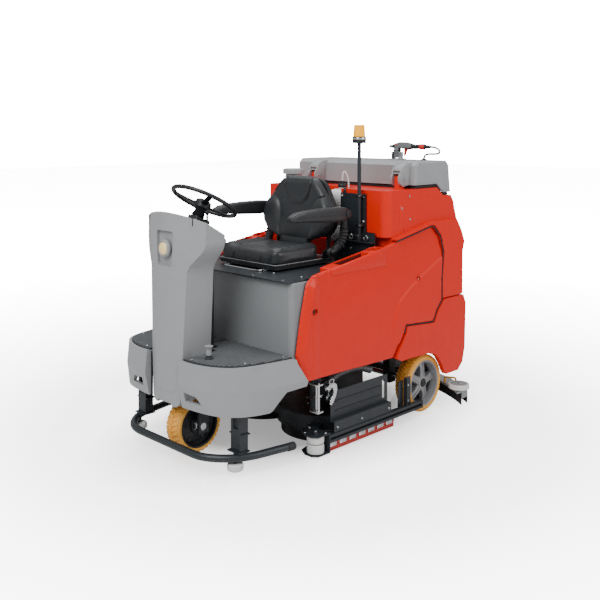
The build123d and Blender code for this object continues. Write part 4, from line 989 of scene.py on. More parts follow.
def band_l(z):
    w = 0.0
    if z < 0.40:
        t = (0.40 - z) / 0.045
        w = 0.045 * (1 - math.sqrt(max(0.0, 1 - t * t)))
    return -0.100 + w


def band_r(z):
    w = 0.0
    if z < 0.40:
        t = (0.40 - z) / 0.045
        w = 0.045 * (1 - math.sqrt(max(0.0, 1 - t * t)))
    return 0.100 - w


patch("column_centre_band", fine_steps(0.3555, 0.965, 40), band_l, band_r, lambda x, z: nose_y(x), 0.0028, "light", "chassis", 30)

# lamp: bowl, rim, reflector and lens
LC = Vector((0, st(-0.2110), 1.078))
lathe("headlight_bezel", [(0.046, 0.0), (0.046, 0.008), (0.041, 0.016), (0.036, 0.018), (0.033, 0.014), (0.031, 0.006), (0.0, 0.004)], LC, (0, -1, 0),
      "lid", "chassis", 64, smooth=40, replaces=("headlight",), slot="lamp_white")
lathe("headlight_bowl", [(0.031, 0.012), (0.024, 0.007), (0.010, 0.005), (0, 0.005)], LC, (0, -1, 0), "steel", "chassis", 48, smooth=60)
lathe("headlight_lens", [(0.0325, 0.0145), (0.030, 0.0185), (0.020, 0.0225), (0.008, 0.0240), (0, 0.0242)], LC, (0, -1, 0), "lamp", "chassis", 64,
      smooth=60)

# -------------------------------------------------------------------- mats
MAT_EDGE = [(0.150, -0.2085), (0.200, -0.2065), (0.260, -0.2000), (0.311, -0.1905), (0.350, -0.176), (0.390, -0.150), (0.422, -0.1165),
            (0.450, -0.072), (0.476, 0.0165), (0.492, 0.090), (0.505, 0.178), (0.508, 0.196)]


def mat_front(x):
    x = abs(x)
    if x <= MAT_EDGE[0][0]:
        return MAT_EDGE[0][1]
    for (a, s0), (b, s1) in zip(MAT_EDGE, MAT_EDGE[1:]):
        if x <= b:
            return s0 + (s1 - s0) * (x - a) / (b - a)
    return 0.197


def mats():
    bm = bmesh.new()

    def strip(x0, x1, s0, s1, z0, z1, top_in):
        vs = [bm.verts.new((x, st(s), z)) for (x, s, z) in (
            (x0, s0, z0), (x1, s0, z0), (x1, s1, z0), (x0, s1, z0),
            (x0 + top_in, s0 + top_in, z1), (x1 - top_in, s0 + top_in, z1), (x1 - top_in, s1 - top_in, z1), (x0 + top_in, s1 - top_in, z1))]
        for f in ((0, 1, 5, 4), (1, 2, 6, 5), (2, 3, 7, 6), (3, 0, 4, 7), (4, 5, 6, 7)):
            bm.faces.new([vs[i] for i in f])

    def holes(x):
        # stretches of a rib interrupted by the column, the pedal's ears and the foot switch
        cut = []
        if abs(x) < 0.150:
            cut.append((-0.30, 0.010))
        if abs(x) < 0.090:
            cut.append((-0.30, 0.070))
        if -0.230 < x < -0.120:
            cut.append((0.132, 0.168))
        d = 0.026 ** 2 - (x - 0.236) ** 2
        if d > 0:
            cut.append((-0.118 - math.sqrt(d), -0.118 + math.sqrt(d)))
        return cut

    pitch, wid = 0.0190, 0.0100
    n = int(0.503 / pitch)
    for i in range(-n, n + 1):
        x = i * pitch
        if abs(x) < 0.004:
            continue
        spans = [(mat_front(abs(x) + wid / 2) + 0.004, 0.194)]
        for a, b in holes(x):
            nxt = []
            for s0, s1 in spans:
                if b <= s0 or a >= s1:
                    nxt.append((s0, s1))
                else:
                    if a > s0 + 0.01:
                        nxt.append((s0, a))
                    if b < s1 - 0.01:
                        nxt.append((b, s1))
            spans = nxt
        for s0, s1 in spans:
            strip(x - wid / 2, x + wid / 2, s0, s1, 0.5385, 0.5425, 0.0013)
    return obj_from("mat_ribs", bm, "tread", "chassis", smooth=30)


mats()
for k, (x, s) in enumerate(((0.19, -0.19), (0.43, -0.05), (-0.19, -0.19), (-0.43, -0.05), (0.47, 0.17), (-0.47, 0.17))):
    screw("mat_screw_%d" % k, (x, st(s), 0.5425), (0, 0, 1), 0.0075, "steel", "chassis")

# foot switch's cap and the pedal's tread
lathe("foot_switch_boot", [(0.021, 0.539), (0.021, 0.543), (0.0165, 0.549), (0.0150, 0.560), (0.0150, 0.561)], (0.236, st(-0.118), 0), (0, 0, 1), "rubber",
      "chassis", 32, smooth=50)
for k in range(7):
    t = k / 6
    y, z = 0.146 + (0.052 - 0.146) * t, 0.5645 + (0.6085 - 0.5645) * t
    rbox("pedal_tread_%d" % k, (-0.206, st(y) - 0.0035, z - 0.002), (-0.144, st(y) + 0.0035, z + 0.0022), "rubber", "accelerator", 0.001, 1)

# ------------------------------------------------------------ red mouldings
def seg_dist(p, a, b):
    ax, ay, bx, by, px, py = a[0], a[1], b[0], b[1], p[0], p[1]
    dx, dy = bx - ax, by - ay
    l = dx * dx + dy * dy
    t = max(0.0, min(1.0, ((px - ax) * dx + (py - ay) * dy) / l)) if l > 0 else 0
    return math.hypot(px - ax - dx * t, py - ay - dy * t), t


def poly_dist(p, pts):
    best, bi, bt = 1e9, 0, 0
    for i in range(len(pts)):
        d, t = seg_dist(p, pts[i], pts[(i + 1) % len(pts)])
        if d < best:
            best, bi, bt = d, i, t
    return best, bi, bt


def line_dist(p, pts):
    return min(seg_dist(p, a, b)[0] for a, b in zip(pts, pts[1:]))


def relief(name, outline, out, back, fn, mat, body, step=0.012, sx=1, extra=(), **k):
    # a moulding seen from the side: outline in (y, z), cut into a grid, with fn(y, z, edge distance) giving its outer x
    bm = bmesh.new()
    vs = [bm.verts.new((0, y, z)) for y, z in outline]
    bm.faces.new(vs)
    ys, zs = [p[0] for p in outline], [p[1] for p in outline]
    cuts = [((0, 1, 0), min(ys), max(ys)), ((0, 0, 1), min(zs), max(zs))]
    for no, lo, hi in cuts:
        q = lo + step
        while q < hi - 1e-4:
            co = (0, q, 0) if no[1] else (0, 0, q)
            bmesh.ops.bisect_plane(bm, geom=list(bm.faces) + list(bm.edges) + list(bm.verts), plane_co=co, plane_no=no)
            q += step
    # extra cuts through any planes that are given
    border = [e for e in bm.edges if len(e.link_faces) == 1]
    loops = [v.co.copy() for v in bm.verts]
    for e in extra:
        bmesh.ops.bisect_plane(bm, geom=list(bm.faces) + list(bm.edges) + list(bm.verts), plane_co=e[0], plane_no=e[1])
    bmesh.ops.triangulate(bm, faces=[f for f in bm.faces if len(f.verts) > 4])
    border = [e for e in bm.edges if len(e.link_faces) == 1]
    bverts = {v for e in border for v in e.verts}
    for v in bm.verts:
        d = 0.0 if v in bverts else poly_dist((v.co.y, v.co.z), outline)[0]
        v.co.x = sx * fn(v.co.y, v.co.z, d)
    r = bmesh.ops.extrude_edge_only(bm, edges=border)
    for v in [g for g in r["geom"] if isinstance(g, bmesh.types.BMVert)]:
        v.co.x = sx * back
    return obj_from(name, bm, mat, body, **k)


def drop(d, r):
    # height lost at distance d inside an edge rounded with radius r
    return 0.0 if d >= r else r - math.sqrt(max(0.0, r * r - (r - d) ** 2))


def smooth01(t):
    t = max(0.0, min(1.0, t))
    return t * t * (3 - 2 * t)


PANEL = [(262, 401), (226, 541), (258, 719), (300, 893), (345, 930), (420, 943), (550, 958), (742, 988),
         (880, 1010), (1010, 1040), (1175, 1068), (1340, 1101), (1366, 1098), (1432, 1034), (1460, 940),
         (1444, 786), (1444, 652), (1392, 600), (1356, 536), (1094, 556), (1078, 512), (984, 386)]
PANEL_R = [4, 14, 30, 40, 40, 30, 30, 30, 30, 30, 60, 40, 40, 60, 20, 8, 8, 8, 10, 10, 8, 6]
PO = [(st(a / 1000), b / 1000) for a, b in round_poly(PANEL, PANEL_R, 4)]
FRONT_EDGE = [(st(a / 1000), b / 1000) for a, b in [(262, 401), (226, 541), (258, 719), (300, 893), (345, 930)]]
CREASE = [(st(a), b) for a, b in [(0.345, 0.875), (0.470, 0.800), (0.700, 0.862), (1.000, 0.925), (1.460, 0.985)]]
EMBOSS = [(st(a), b) for a, b in [(1.045, 0.440), (1.005, 0.500), (0.985, 0.560), (1.005, 0.640), (1.035, 0.700), (1.13, 0.762), (1.28, 0.838), (1.462, 0.915)]]


def above(y, z, line):
    # signed height of a point over a polyline that runs rearwards
    if y <= line[0][0]:
        return z - line[0][1]
    for (y0, z0), (y1, z1) in zip(line, line[1:]):
        if y <= y1:
            return z - (z0 + (z1 - z0) * (y - y0) / (y1 - y0))
    return z - line[-1][1]


def side_of(p, pts):
    # signed distance from a polyline, positive to its rear
    best, sg = 1e9, 1
    for q0, q1 in zip(pts, pts[1:]):
        d, t = seg_dist(p, q0, q1)
        if d < best:
            best = d
            sg = (q1[0] - q0[0]) * (p[1] - q0[1]) - (q1[1] - q0[1]) * (p[0] - q0[0])
    return best if sg > 0 else -best


def panel_x(y, z, d):
    x = 0.5300
    f = line_dist((y, z), FRONT_EDGE)
    # rolled strip down the front edge
    if f < 0.042 and z < 0.925:
        x -= 0.020 * (1 - f / 0.042)
    field = smooth01((y - st(0.33)) / 0.07)
    e = -side_of((y, z), EMBOSS)
    raised = smooth01((e + 0.011) / 0.022)
    h = above(y, z, CREASE)
    # above the crease the face lies back; below it swells out to full depth
    swell = (1 - math.exp(h / 0.050)) if h < 0 else 0.0
    low = (0.0150 - 0.0085 * swell) * (1 - raised) * field
    x -= low
    if h > 0:
        x -= 0.020 * h * field * (1 - raised)
    # wells round the fixing screws
    for (hs, hz, hr) in ((0.338, 0.748, 0.0145), (1.218, 0.806, 0.0090)):
        q = math.hypot(y - st(hs), z - hz)
        if q < hr:
            x -= 0.016
        elif q < hr + 0.005:
            x -= 0.0015
    # swelling under the cup holder
    q = ((y - st(0.872)) / 0.032) ** 2
    if q < 5 and z > 0.950:
        x += 0.0085 * math.exp(-q) * smooth01((z - 0.950) / 0.04)
    x = min(x, 0.5300)
    return x - drop(d, 0.010)


def side_panel(sx, body, node, tag):
    objs = []
    o = relief(tag + "_panel_skin", PO, 0.53, 0.5005, panel_x, "red", body, step=0.0065, sx=sx, smooth=32)
    # ledge with its tray and cup holder
    led = [(st(0.4765), 0.9175), (st(0.4765), 0.9492), (st(0.9255), 1.0188), (st(0.9255), 0.9175)]
    a, b = sorted((sx * 0.4305, sx * 0.5200))
    L = prism(tag + "_panel_ledge", led, "X", a, b, "red", body, bev=0.005, seg=3)

    def cutter(name, make):
        c = make()
        m = L.modifiers.new(name, "BOOLEAN")
        m.object, m.operation, m.solver = c, "DIFFERENCE", "EXACT"
        bpy.context.view_layer.objects.active = L
        bpy.ops.object.modifier_apply(modifier=name)
        bpy.data.objects.remove(c, do_unlink=True)

    def tray():
        bm = bmesh.new()
        pts = round_poly([(0.4465, st(0.558)), (0.5065, st(0.558)), (0.5065, st(0.794)), (0.4465, st(0.794))], 0.012, 4)
        A = [bm.verts.new((sx * x, y, 0.9225)) for x, y in pts]
        B = [bm.verts.new((sx * x, y, 1.10)) for x, y in pts]
        for i in range(len(A)):
            j = (i + 1) % len(A)
            bm.faces.new((A[i], A[j], B[j], B[i]))
        bm.faces.new(A); bm.faces.new(list(reversed(B)))
        bmesh.ops.recalc_face_normals(bm, faces=bm.faces)
        me = bpy.data.meshes.new("cut"); bm.to_mesh(me); bm.free()
        c = bpy.data.objects.new("cut", me); bpy.context.collection.objects.link(c)
        return c

    def cup():
        bm = bmesh.new()
        lathe_bm(bm, [(0, 0.937), (0.0385, 0.937), (0.0390, 1.10), (0, 1.10)], (sx * 0.4770, st(0.866), 0), (0, 0, 1), 48)
        bmesh.ops.recalc_face_normals(bm, faces=bm.faces)
        me = bpy.data.meshes.new("cut"); bm.to_mesh(me); bm.free()
        c = bpy.data.objects.new("cut", me); bpy.context.collection.objects.link(c)
        return c

    cutter("tray", tray)
    cutter("cup", cup)
    shade(L, 30)
    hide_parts(node)
    # rounded lip round the cup holder, which follows the ledge's slope
    k = 0.155
    ring = [(sx * 0.4770 + 0.0405 * math.cos(t), st(0.866) + 0.0405 * math.sin(t)) for t in [2 * math.pi * i / 40 for i in range(41)]]
    tube(tag + "_cup_rim", [(x, y, 0.9490 + k * (y - st(0.476)) + 0.0005) for x, y in ring], 0.0028, "red", body, seg=8, n=1, smooth_pts=False)
    # screws in their wells
    for i, (hs, hz, r) in enumerate(((0.338, 0.748, 0.0125), (1.218, 0.806, 0.0085))):
        screw("%s_panel_screw_%d" % (tag, i), (sx * 0.5155, st(hs), hz), (sx, 0, 0), r, "steel" if i else "dark", body, 0.004)
        t = 0.0205 if i == 0 else 0.0135
        ring = [(sx * 0.5292, st(hs) + t * math.cos(q), hz + t * math.sin(q)) for q in [2 * math.pi * j / 32 for j in range(33)]]
        tube("%s_panel_well_%d" % (tag, i), ring, 0.0016, "red", body, seg=8, n=1, smooth_pts=False)
        lathe("%s_panel_well_wall_%d" % (tag, i), [(t, 0.5135 - 0.5), (t, 0.5295 - 0.5)], (sx * 0.5, st(hs), hz), (sx, 0, 0), "red", body, 32)
    return o


side_panel(1, "panel_l", "left_side_panel", "left")
side_panel(-1, "panel_r", "right_side_panel", "right")

# ------------------------------------------------------- tank, lid and behind the seat
# pale grey that paints the highlight along the black seat pan's edge
M["rim_highlight"] = surface("seat_rim_painted_highlight", rgb(120, 123, 126), 0.5, vary=0.05)
M["chrome"] = surface("chrome_clip", rgb(214, 216, 218), 0.14, metal=1.0, grain=300, grain_h=0.00002, vary=0.04)

# side plate, both sides of the tank
for sx, tag in ((1, "left"), (-1, "right")):
    pl = round_poly([(st(1.074), 1.100), (st(1.066), 1.246), (st(1.104), 1.246), (st(1.104), 1.100)], 0.006, 3)
    a, b = sorted((sx * 0.4990, sx * 0.5022))
    prism(tag + "_tank_plate", pl, "X", a, b, "red", "chassis", bev=0.0012, seg=2)


def bellows(name, pts, r, amp, pitch, mat, body, seg=20, **k):
    path = smooth_path(pts, 6)
    # resample evenly, four rings to a fold
    L = [0.0]
    for a, b in zip(path, path[1:]):
        L.append(L[-1] + (b - a).length)
    m = max(4, int(L[-1] / pitch) * 4)
    P = []
    for i in range(m + 1):
        q = L[-1] * i / m
        j = max(t for t in range(len(L)) if L[t] <= q + 1e-9)
        j = min(j, len(path) - 2)
        u = (q - L[j]) / max(1e-9, L[j + 1] - L[j])
        P.append(path[j].lerp(path[j + 1], u))
    rad = [r + amp * (1, 0.2, -1, 0.2)[i % 4] for i in range(m + 1)]
    bm = bmesh.new()
    rings = []
    x, y, _ = frame_of(P[1] - P[0])
    for i, p in enumerate(P):
        t = (P[min(i + 1, m)] - P[max(i - 1, 0)]).normalized()
        x = (x - t * x.dot(t)).normalized()
        y = t.cross(x)
        rings.append([bm.verts.new(p + (x * math.cos(2 * math.pi * q / seg) + y * math.sin(2 * math.pi * q / seg)) * rad[i]) for q in range(seg)])
    for a, b in zip(rings, rings[1:]):
        for i in range(seg):
            j = (i + 1) % seg
            bm.faces.new((a[i], a[j], b[j], b[i]))
    bm.faces.new(list(reversed(rings[0])))
    bm.faces.new(rings[-1])
    return obj_from(name, bm, mat, body, smooth=60, **k)


# canister: soft shouldered bottle with moulded ribs and black cap
def bottle():
    x0, x1, s0, s1, z0, z1 = 0.014, 0.146, 0.968, 1.092, 1.013, 1.3205
    rings = []
    for z, ins, r in ((z0, 0.006, 0.010), (z0 + 0.008, 0.0, 0.014), (z0 + 0.09, 0.0, 0.016), (z0 + 0.094, 0.003, 0.016),
                      (z0 + 0.100, 0.003, 0.016), (z0 + 0.104, 0.0, 0.016), (z0 + 0.20, 0.0, 0.016), (z0 + 0.204, 0.003, 0.016),
                      (z0 + 0.210, 0.003, 0.016), (z0 + 0.214, 0.0, 0.016), (z1 - 0.040, 0.0, 0.018), (z1 - 0.018, 0.007, 0.020),
                      (z1 - 0.006, 0.020, 0.020), (z1, 0.034, 0.018)):
        pts = round_poly([(x0 + ins, st(s0) + ins), (x1 - ins, st(s0) + ins), (x1 - ins, st(s1) - ins), (x0 + ins, st(s1) - ins)], r, 5)
        rings.append([(x, y, z) for x, y in pts])
    loft_rings("canister_bottle", rings, "milky", "chassis", smooth=40, replaces=("detergent_canister",), slot="milky")


bottle()
cx, cy = 0.100, st(1.022)
prof = [(0.018, 1.318), (0.022, 1.322), (0.022, 1.334), (0.0, 1.334)]
lathe("canister_neck", prof, (cx, cy, 0), (0, 0, 1), "milky", "chassis", 32)
bm = bmesh.new()
N = 60
levels = [(0.0262, 1.3325), (0.0270, 1.3345), (0.0270, 1.3500), (0.0250, 1.3530), (0.0, 1.3530)]
rings = []
for r, z in levels:
    if r == 0:
        rings.append([bm.verts.new((cx, cy, z))])
        continue
    ring = []
    for i in range(N):
        rr = r - (0.0009 if i % 3 == 0 and 1.334 < z < 1.351 else 0)
        ring.append(bm.verts.new((cx + rr * math.cos(2 * math.pi * i / N), cy + rr * math.sin(2 * math.pi * i / N), z)))
    rings.append(ring)
for a, b in zip(rings, rings[1:]):
    for i in range(N):
        j = (i + 1) % N
        if len(b) == 1:
            bm.faces.new((a[i], a[j], b[0]))
        else:
            bm.faces.new((a[i], a[j], b[j], b[i]))
bm.faces.new(list(reversed(rings[0])))
obj_from("canister_cap", bm, "black", "chassis", smooth=35)
lathe("canister_cap_boss", [(0.0, 1.3720), (0.0075, 1.3720), (0.0095, 1.3700), (0.0105, 1.3530)], (cx, cy, 0), (0, 0, 1), "black", "chassis", 24)

# filler cap: gripped rim, raised web and stepped neck
fx, fy = -0.300, st(1.002)
lathe("filler_cap_neck", [(0.0, 1.3545), (0.0560, 1.3545), (0.0560, 1.3640), (0.0520, 1.3650), (0.0520, 1.3780), (0.0550, 1.3800), (0.0550, 1.3860), (0.0520, 1.3880), (0.0520, 1.4000), (0.0, 1.4000)],
      (fx, fy, 0), (0, 0, 1), "light", "fill_cap", 48, smooth=40)
bm = bmesh.new()
N = 72
levels = [(0.0645, 1.3995), (0.0685, 1.4015), (0.0690, 1.4220), (0.0670, 1.4290), (0.0600, 1.4325), (0.0480, 1.4325), (0.0460, 1.4290), (0.0, 1.4290)]
rings = []
for r, z in levels:
    if r == 0:
        rings.append([bm.verts.new((fx, fy, z))])
        continue
    ring = []
    for i in range(N):
        rr = r - (0.0016 if i % 4 in (0, 1) and 1.401 < z < 1.424 else 0)
        ring.append(bm.verts.new((fx + rr * math.cos(2 * math.pi * i / N), fy + rr * math.sin(2 * math.pi * i / N), z)))
    rings.append(ring)
for a, b in zip(rings, rings[1:]):
    for i in range(N):
        j = (i + 1) % N
        if len(b) == 1:
            bm.faces.new((a[i], a[j], b[0]))
        else:
            bm.faces.new((a[i], a[j], b[j], b[i]))
bm.faces.new(list(reversed(rings[0])))
obj_from("filler_cap_top", bm, "light", "fill_cap", smooth=35, replaces=("filler_cap",), slot="grey_shell")
for q in (0, math.pi / 2):
    c, s_ = math.cos(q), math.sin(q)
    pts = [(-0.044, -0.004), (0.044, -0.004), (0.044, 0.004), (-0.044, 0.004)]
    prism("filler_cap_web_%d" % int(q * 10), [(fx + x * c - y * s_, fy + x * s_ + y * c) for x, y in pts], "Z", 1.4288, 1.4335, "light", "fill_cap", bev=0.001)

# ------------------------------------------------ seat fittings behind and beside
# armrest pads: replaced by padded shapes with a thin nose that swells to the rear
def armrest(sx, body, node, tag):
    a = [(0.356, 1.192, 1.206, 0.018), (0.372, 1.186, 1.220, 0.024), (0.410, 1.184, 1.234, 0.028), (0.480, 1.181, 1.242, 0.0300), (0.600, 1.174, 1.246, 0.0305),
         (0.720, 1.169, 1.246, 0.0305), (0.776, 1.169, 1.243, 0.030), (0.802, 1.176, 1.236, 0.028), (0.814, 1.190, 1.222, 0.022)]
    rings = []
    for s, z0, z1, hw in a:
        r = min(0.014, (z1 - z0) * 0.45, hw * 0.8)
        pts = round_poly([(-hw, z0), (hw, z0), (hw, z1), (-hw, z1)], r, 5)
        rings.append([(sx * 0.3195 + x, st(s), z) for x, z in pts])
    o = loft_rings(tag + "_armrest_pad", rings, "vinyl", body, smooth=50)
    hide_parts(node)
    # under-shell with its hinge boss
    und = [(0.470, 1.1835, 0.016), (0.540, 1.1745, 0.024), (0.700, 1.1665, 0.0265), (0.770, 1.1670, 0.0265), (0.796, 1.1740, 0.024)]
    rr = []
    for s, z0, hw in und:
        rr.append([(sx * 0.3195 + x, st(s), z) for x, z in round_poly([(-hw, z0 - 0.001), (hw, z0 - 0.001), (hw, z0 + 0.012), (-hw, z0 + 0.012)], 0.004, 3)])
    loft_rings(tag + "_armrest_shell", rr, "black", body, smooth=50)
    lathe(tag + "_armrest_boss", [(0, 0.0), (0.019, 0.0), (0.021, 0.002), (0.021, 0.0035), (0.017, 0.0045), (0, 0.0045)], (sx * 0.3505, st(0.800), 1.205), (sx, 0, 0), "black", body, 28)
    tube(tag + "_armrest_seam", [(sx * (0.3195 + 0.0300), st(s), z) for s, z in ((0.40, 1.206), (0.50, 1.208), (0.62, 1.206), (0.72, 1.204), (0.78, 1.204))], 0.0012, "piping", body, seg=6, n=4)


armrest(1, "armrest_l", "left_armrest", "left")
armrest(-1, "armrest_r", "right_armrest", "right")

for sx, tg in ((1, "left"), (-1, "right")):
    # ribbed boot over the arm's folding stay, from the backrest bracket down to the seat pan
    top = (sx * 0.312, st(0.792), 1.120)
    tube(tg + "_stay_upper", [(sx * 0.306, st(0.800), 1.196), (sx * 0.306, st(0.806), 1.160), (sx * 0.306, st(0.806), 1.118)], 0.021, "black", "backrest", seg=20, n=4)
    bellows(tg + "_stay_boot", [(sx * 0.306, st(0.806), 1.122), (sx * 0.304, st(0.806), 1.085), (sx * 0.298, st(0.796), 1.048), (sx * 0.288, st(0.776), 1.018)],
            0.0235, 0.0030, 0.017, "rubber", "backrest")
    tube(tg + "_stay_foot", [(sx * 0.290, st(0.780), 1.022), (sx * 0.280, st(0.756), 0.998), (sx * 0.272, st(0.728), 0.984)], 0.0245, "black", "backrest", seg=20, n=5)
    lathe(tg + "_stay_knob", [(0, 0), (0.024, 0), (0.027, 0.003), (0.027, 0.012), (0.020, 0.016), (0, 0.016)], (sx * 0.270, st(0.722), 0.986), (sx, 0, 0), "black", "backrest", 28)
    rbox(tg + "_stay_bracket", (min(sx * 0.225, sx * 0.300), st(0.786), 1.180), (max(sx * 0.225, sx * 0.300), st(0.806), 1.220), "black", "backrest", 0.004)
    # recliner plate and lever on the seat pan
    pl = round_poly([(st(0.690), 0.950), (st(0.700), 0.992), (st(0.745), 1.012), (st(0.792), 1.000), (st(0.800), 0.950)], 0.010, 3)
    a, b = sorted((sx * 0.2385, sx * 0.2430))
    prism(tg + "_recliner_plate", pl, "X", a, b, "black", "seat", bev=0.0012)
    lathe(tg + "_recliner_hub", [(0, 0), (0.017, 0), (0.017, 0.006), (0.010, 0.009), (0, 0.009)], (sx * 0.243, st(0.778), 0.985), (sx, 0, 0), "steel", "seat", 28)
tube("recliner_lever", [(-0.252, st(0.770), 0.985), (-0.256, st(0.735), 0.990), (-0.258, st(0.700), 1.004), (-0.258, st(0.676), 1.016)], 0.0065, "steel", "seat", seg=12, n=5)
lathe("recliner_grip", [(0, -0.001), (0.010, 0.0), (0.0115, 0.006), (0.0115, 0.034), (0.008, 0.040), (0, 0.041)], (-0.258, st(0.690), 1.010), (0, -1, 0.42), "black", "seat", 20)

# pale tube round the seat pan's edge, a painted highlight along that edge, and its runners' ends
pan = round_poly([(-0.2375, st(0.3385)), (0.2375, st(0.3385)), (0.2375, st(0.7895)), (-0.2375, st(0.7895))], 0.020, 6)
loop = pan + [pan[0]]
tube("seat_pan_highlight_rim", [(x, y, 0.9500) for x, y in loop], 0.0030, "rim_highlight", "seat", seg=8, n=1, smooth_pts=False)
rings = []
for z, d in ((0.9265, 0.004), (0.9285, 0.0015), (0.948, 0.0), (0.9495, 0.0015)):
    q = round_poly([(-0.2395 + d, st(0.3365) + d), (0.2395 - d, st(0.3365) + d), (0.2395 - d, st(0.7915) - d), (-0.2395 + d, st(0.7915) - d)], 0.022, 6)
    rings.append([(x, y, z) for x, y in q])
loft_rings("seat_pan_skirt", rings, "black", "seat", caps=False, smooth=40)
for x in (-0.150, 0.150):
    rbox("rail_end_%d" % (x > 0), (x - 0.019, st(0.326), 0.9135), (x + 0.019, st(0.332), 0.9235), "steel", "chassis", 0.002)
    for s in (0.342, 0.788):
        screw("rail_bolt_%d_%d" % (x > 0, s > 0.5), (x + 0.0145, st(s), 0.9240), (0, 0, 1), 0.0045, "steel", "chassis", 0.003)
tube("seat_slide_bar", [(-0.150, st(0.326), 0.921), (-0.146, st(0.306), 0.919), (-0.10, st(0.300), 0.918), (0.10, st(0.300), 0.918), (0.146, st(0.306), 0.919), (0.150, st(0.326), 0.921)],
     0.0045, "steel", "seat", seg=10, n=4)

# back of the backrest: moulded shell with vents
for k in range(5):
    z = 1.150 + 0.030 * k
    rbox("back_vent_%d" % k, (-0.10, back_plane(z) + 0.047 - 0.006 * (k * 0.2), z - 0.004), (0.10, back_plane(z) + 0.0515 - 0.006 * (k * 0.2), z + 0.004), "piping", "backrest", 0.0015)

# ------------------------------------------------ bracket behind the seat
for i, (x, s, z) in enumerate(((0.205, 0.9325, 1.068), (0.262, 0.9325, 1.070), (0.318, 0.9325, 1.066), (0.372, 0.9325, 1.071))):
    rod("hook_stem_%d" % i, (x, st(0.934), z - 0.012), (x, st(0.922), z - 0.012), 0.0075, "chrome", "chassis", 18)
    ring = [(x + 0.0135 * math.cos(q), st(0.919) - 0.002 * math.sin(q), z - 0.012 + 0.0135 * math.sin(q)) for q in [2 * math.pi * j / 24 for j in range(25)]]
    tube("hook_ring_%d" % i, ring, 0.0035, "chrome", "chassis", seg=8, n=1, smooth_pts=False)
for i, (x, z) in enumerate(((0.172, 1.292), (0.338, 1.292), (0.172, 1.150), (0.338, 1.150))):
    screw("equipment_panel_screw_%d" % i, (x, st(0.9400), z), (0, -1, 0), 0.006, "white", "chassis", 0.003)
rbox("bracket_lip", (0.160, st(0.9325), 1.0862), (0.426, st(0.9400), 1.0902), "black", "chassis", 0.0015)
for i, x in enumerate((0.190, 0.250, 0.390)):
    screw("bracket_screw_%d" % i, (x, st(0.9340), 0.990), (0, -1, 0), 0.007, "steel", "chassis", 0.004)
rbox("bracket_clip_a", (0.300, st(0.922), 1.0385), (0.352, st(0.934), 1.064), "black", "chassis", 0.003)
lathe("hose_fitting", [(0, 0), (0.014, 0), (0.014, 0.014), (0.009, 0.018), (0.009, 0.026), (0, 0.026)], (0.150 + 0.03, st(0.960), 1.3085), (0, 0, 1), "black", "chassis", 24)
tube("detergent_tube", [(0.100, st(1.022), 1.366), (0.101, st(1.023), 1.400), (0.106, st(1.028), 1.424), (0.114, st(1.036), 1.421), (0.122, st(1.044), 1.396), (0.126, st(1.048), 1.362), (0.127, st(1.050), 1.330)],
     0.0048, "white", "chassis", seg=12, n=8)

# ------------------------------------------------ beacon
lathe("beacon_base", [(0.013, 1.600), (0.020, 1.602), (0.036, 1.606), (0.0395, 1.610), (0.0400, 1.634), (0.0385, 1.640), (0.0, 1.640)], (0.325, st(0.918), 0), (0, 0, 1), "black", "chassis", 48)
lathe("beacon_band", [(0.0405, 1.624), (0.0412, 1.626), (0.0412, 1.632), (0.0405, 1.634)], (0.325, st(0.918), 0), (0, 0, 1), "chrome", "chassis", 48)
lathe("beacon_dome", [(0.0355, 1.6395), (0.0362, 1.642), (0.0356, 1.648)] + [v for k in range(9) for v in ((0.0356 - 0.0004 * k, 1.650 + 0.0058 * k), (0.0345 - 0.0004 * k, 1.6525 + 0.0058 * k))] + [(0.0315, 1.7045), (0.0285, 1.7085), (0.0, 1.7090)],
      (0.325, st(0.918), 0), (0, 0, 1), "amber", "chassis", 56)
lathe("pole_collar", [(0.0, 1.0455), (0.018, 1.0455), (0.020, 1.048), (0.020, 1.068), (0.0135, 1.074), (0.0115, 1.075)], (0.325, st(0.918), 0), (0, 0, 1), "black", "chassis", 32)
for k, z in enumerate((1.128, 1.300)):
    rbox("pole_clamp_%d" % k, (0.304, st(0.904), z - 0.009), (0.346, st(0.9395), z + 0.009), "black", "chassis", 0.004)
    screw("pole_clamp_bolt_%d" % k, (0.339, st(0.904), z), (0, -1, 0), 0.0045, "steel", "chassis", 0.003)

# ------------------------------------------------ lid arms over the hinges
for x0, tg in ((0.414, "left"), (-0.268, "right")):
    # capped arm: flat along the top, rounded nose, open underneath for the tank's lug
    top = [(1.252, 1.4835), (1.205, 1.4795), (1.176, 1.4700), (1.158, 1.4540), (1.147, 1.4320), (1.1425, 1.4080), (1.1420, 1.3620), (1.150, 1.3540), (1.252, 1.3520)]
    out = [(st(s), z) for s, z in round_poly(top, [0.004, 0.02, 0.02, 0.02, 0.02, 0.02, 0.008, 0.006, 0.004], 3)]
    for k, (a, b) in enumerate(((-0.0365, -0.0245), (0.0245, 0.0365))):
        prism("%s_lid_arm_cheek_%d" % (tg, k), out, "X", x0 + a, x0 + b, "lid", "lid", bev=0.0022, seg=3, slot="lid_grey")
    roof = [(1.252, 1.4835), (1.205, 1.4795), (1.176, 1.4700), (1.158, 1.4540), (1.150, 1.4390), (1.158, 1.4310), (1.176, 1.4440), (1.205, 1.4560), (1.252, 1.4600)]
    prism(tg + "_lid_arm_roof", [(st(s), z) for s, z in roof], "X", x0 - 0.0330, x0 + 0.0330, "lid", "lid", bev=0.0015, seg=2, slot="lid_grey")
    rod(tg + "_lid_pin_a", (x0 + 0.0365, st(1.175), 1.388), (x0 + 0.0405, st(1.175), 1.388), 0.0115, "steel", "lid", 24)
    rod(tg + "_lid_pin_b", (x0 - 0.0405, st(1.175), 1.388), (x0 - 0.0365, st(1.175), 1.388), 0.0115, "steel", "lid", 24)

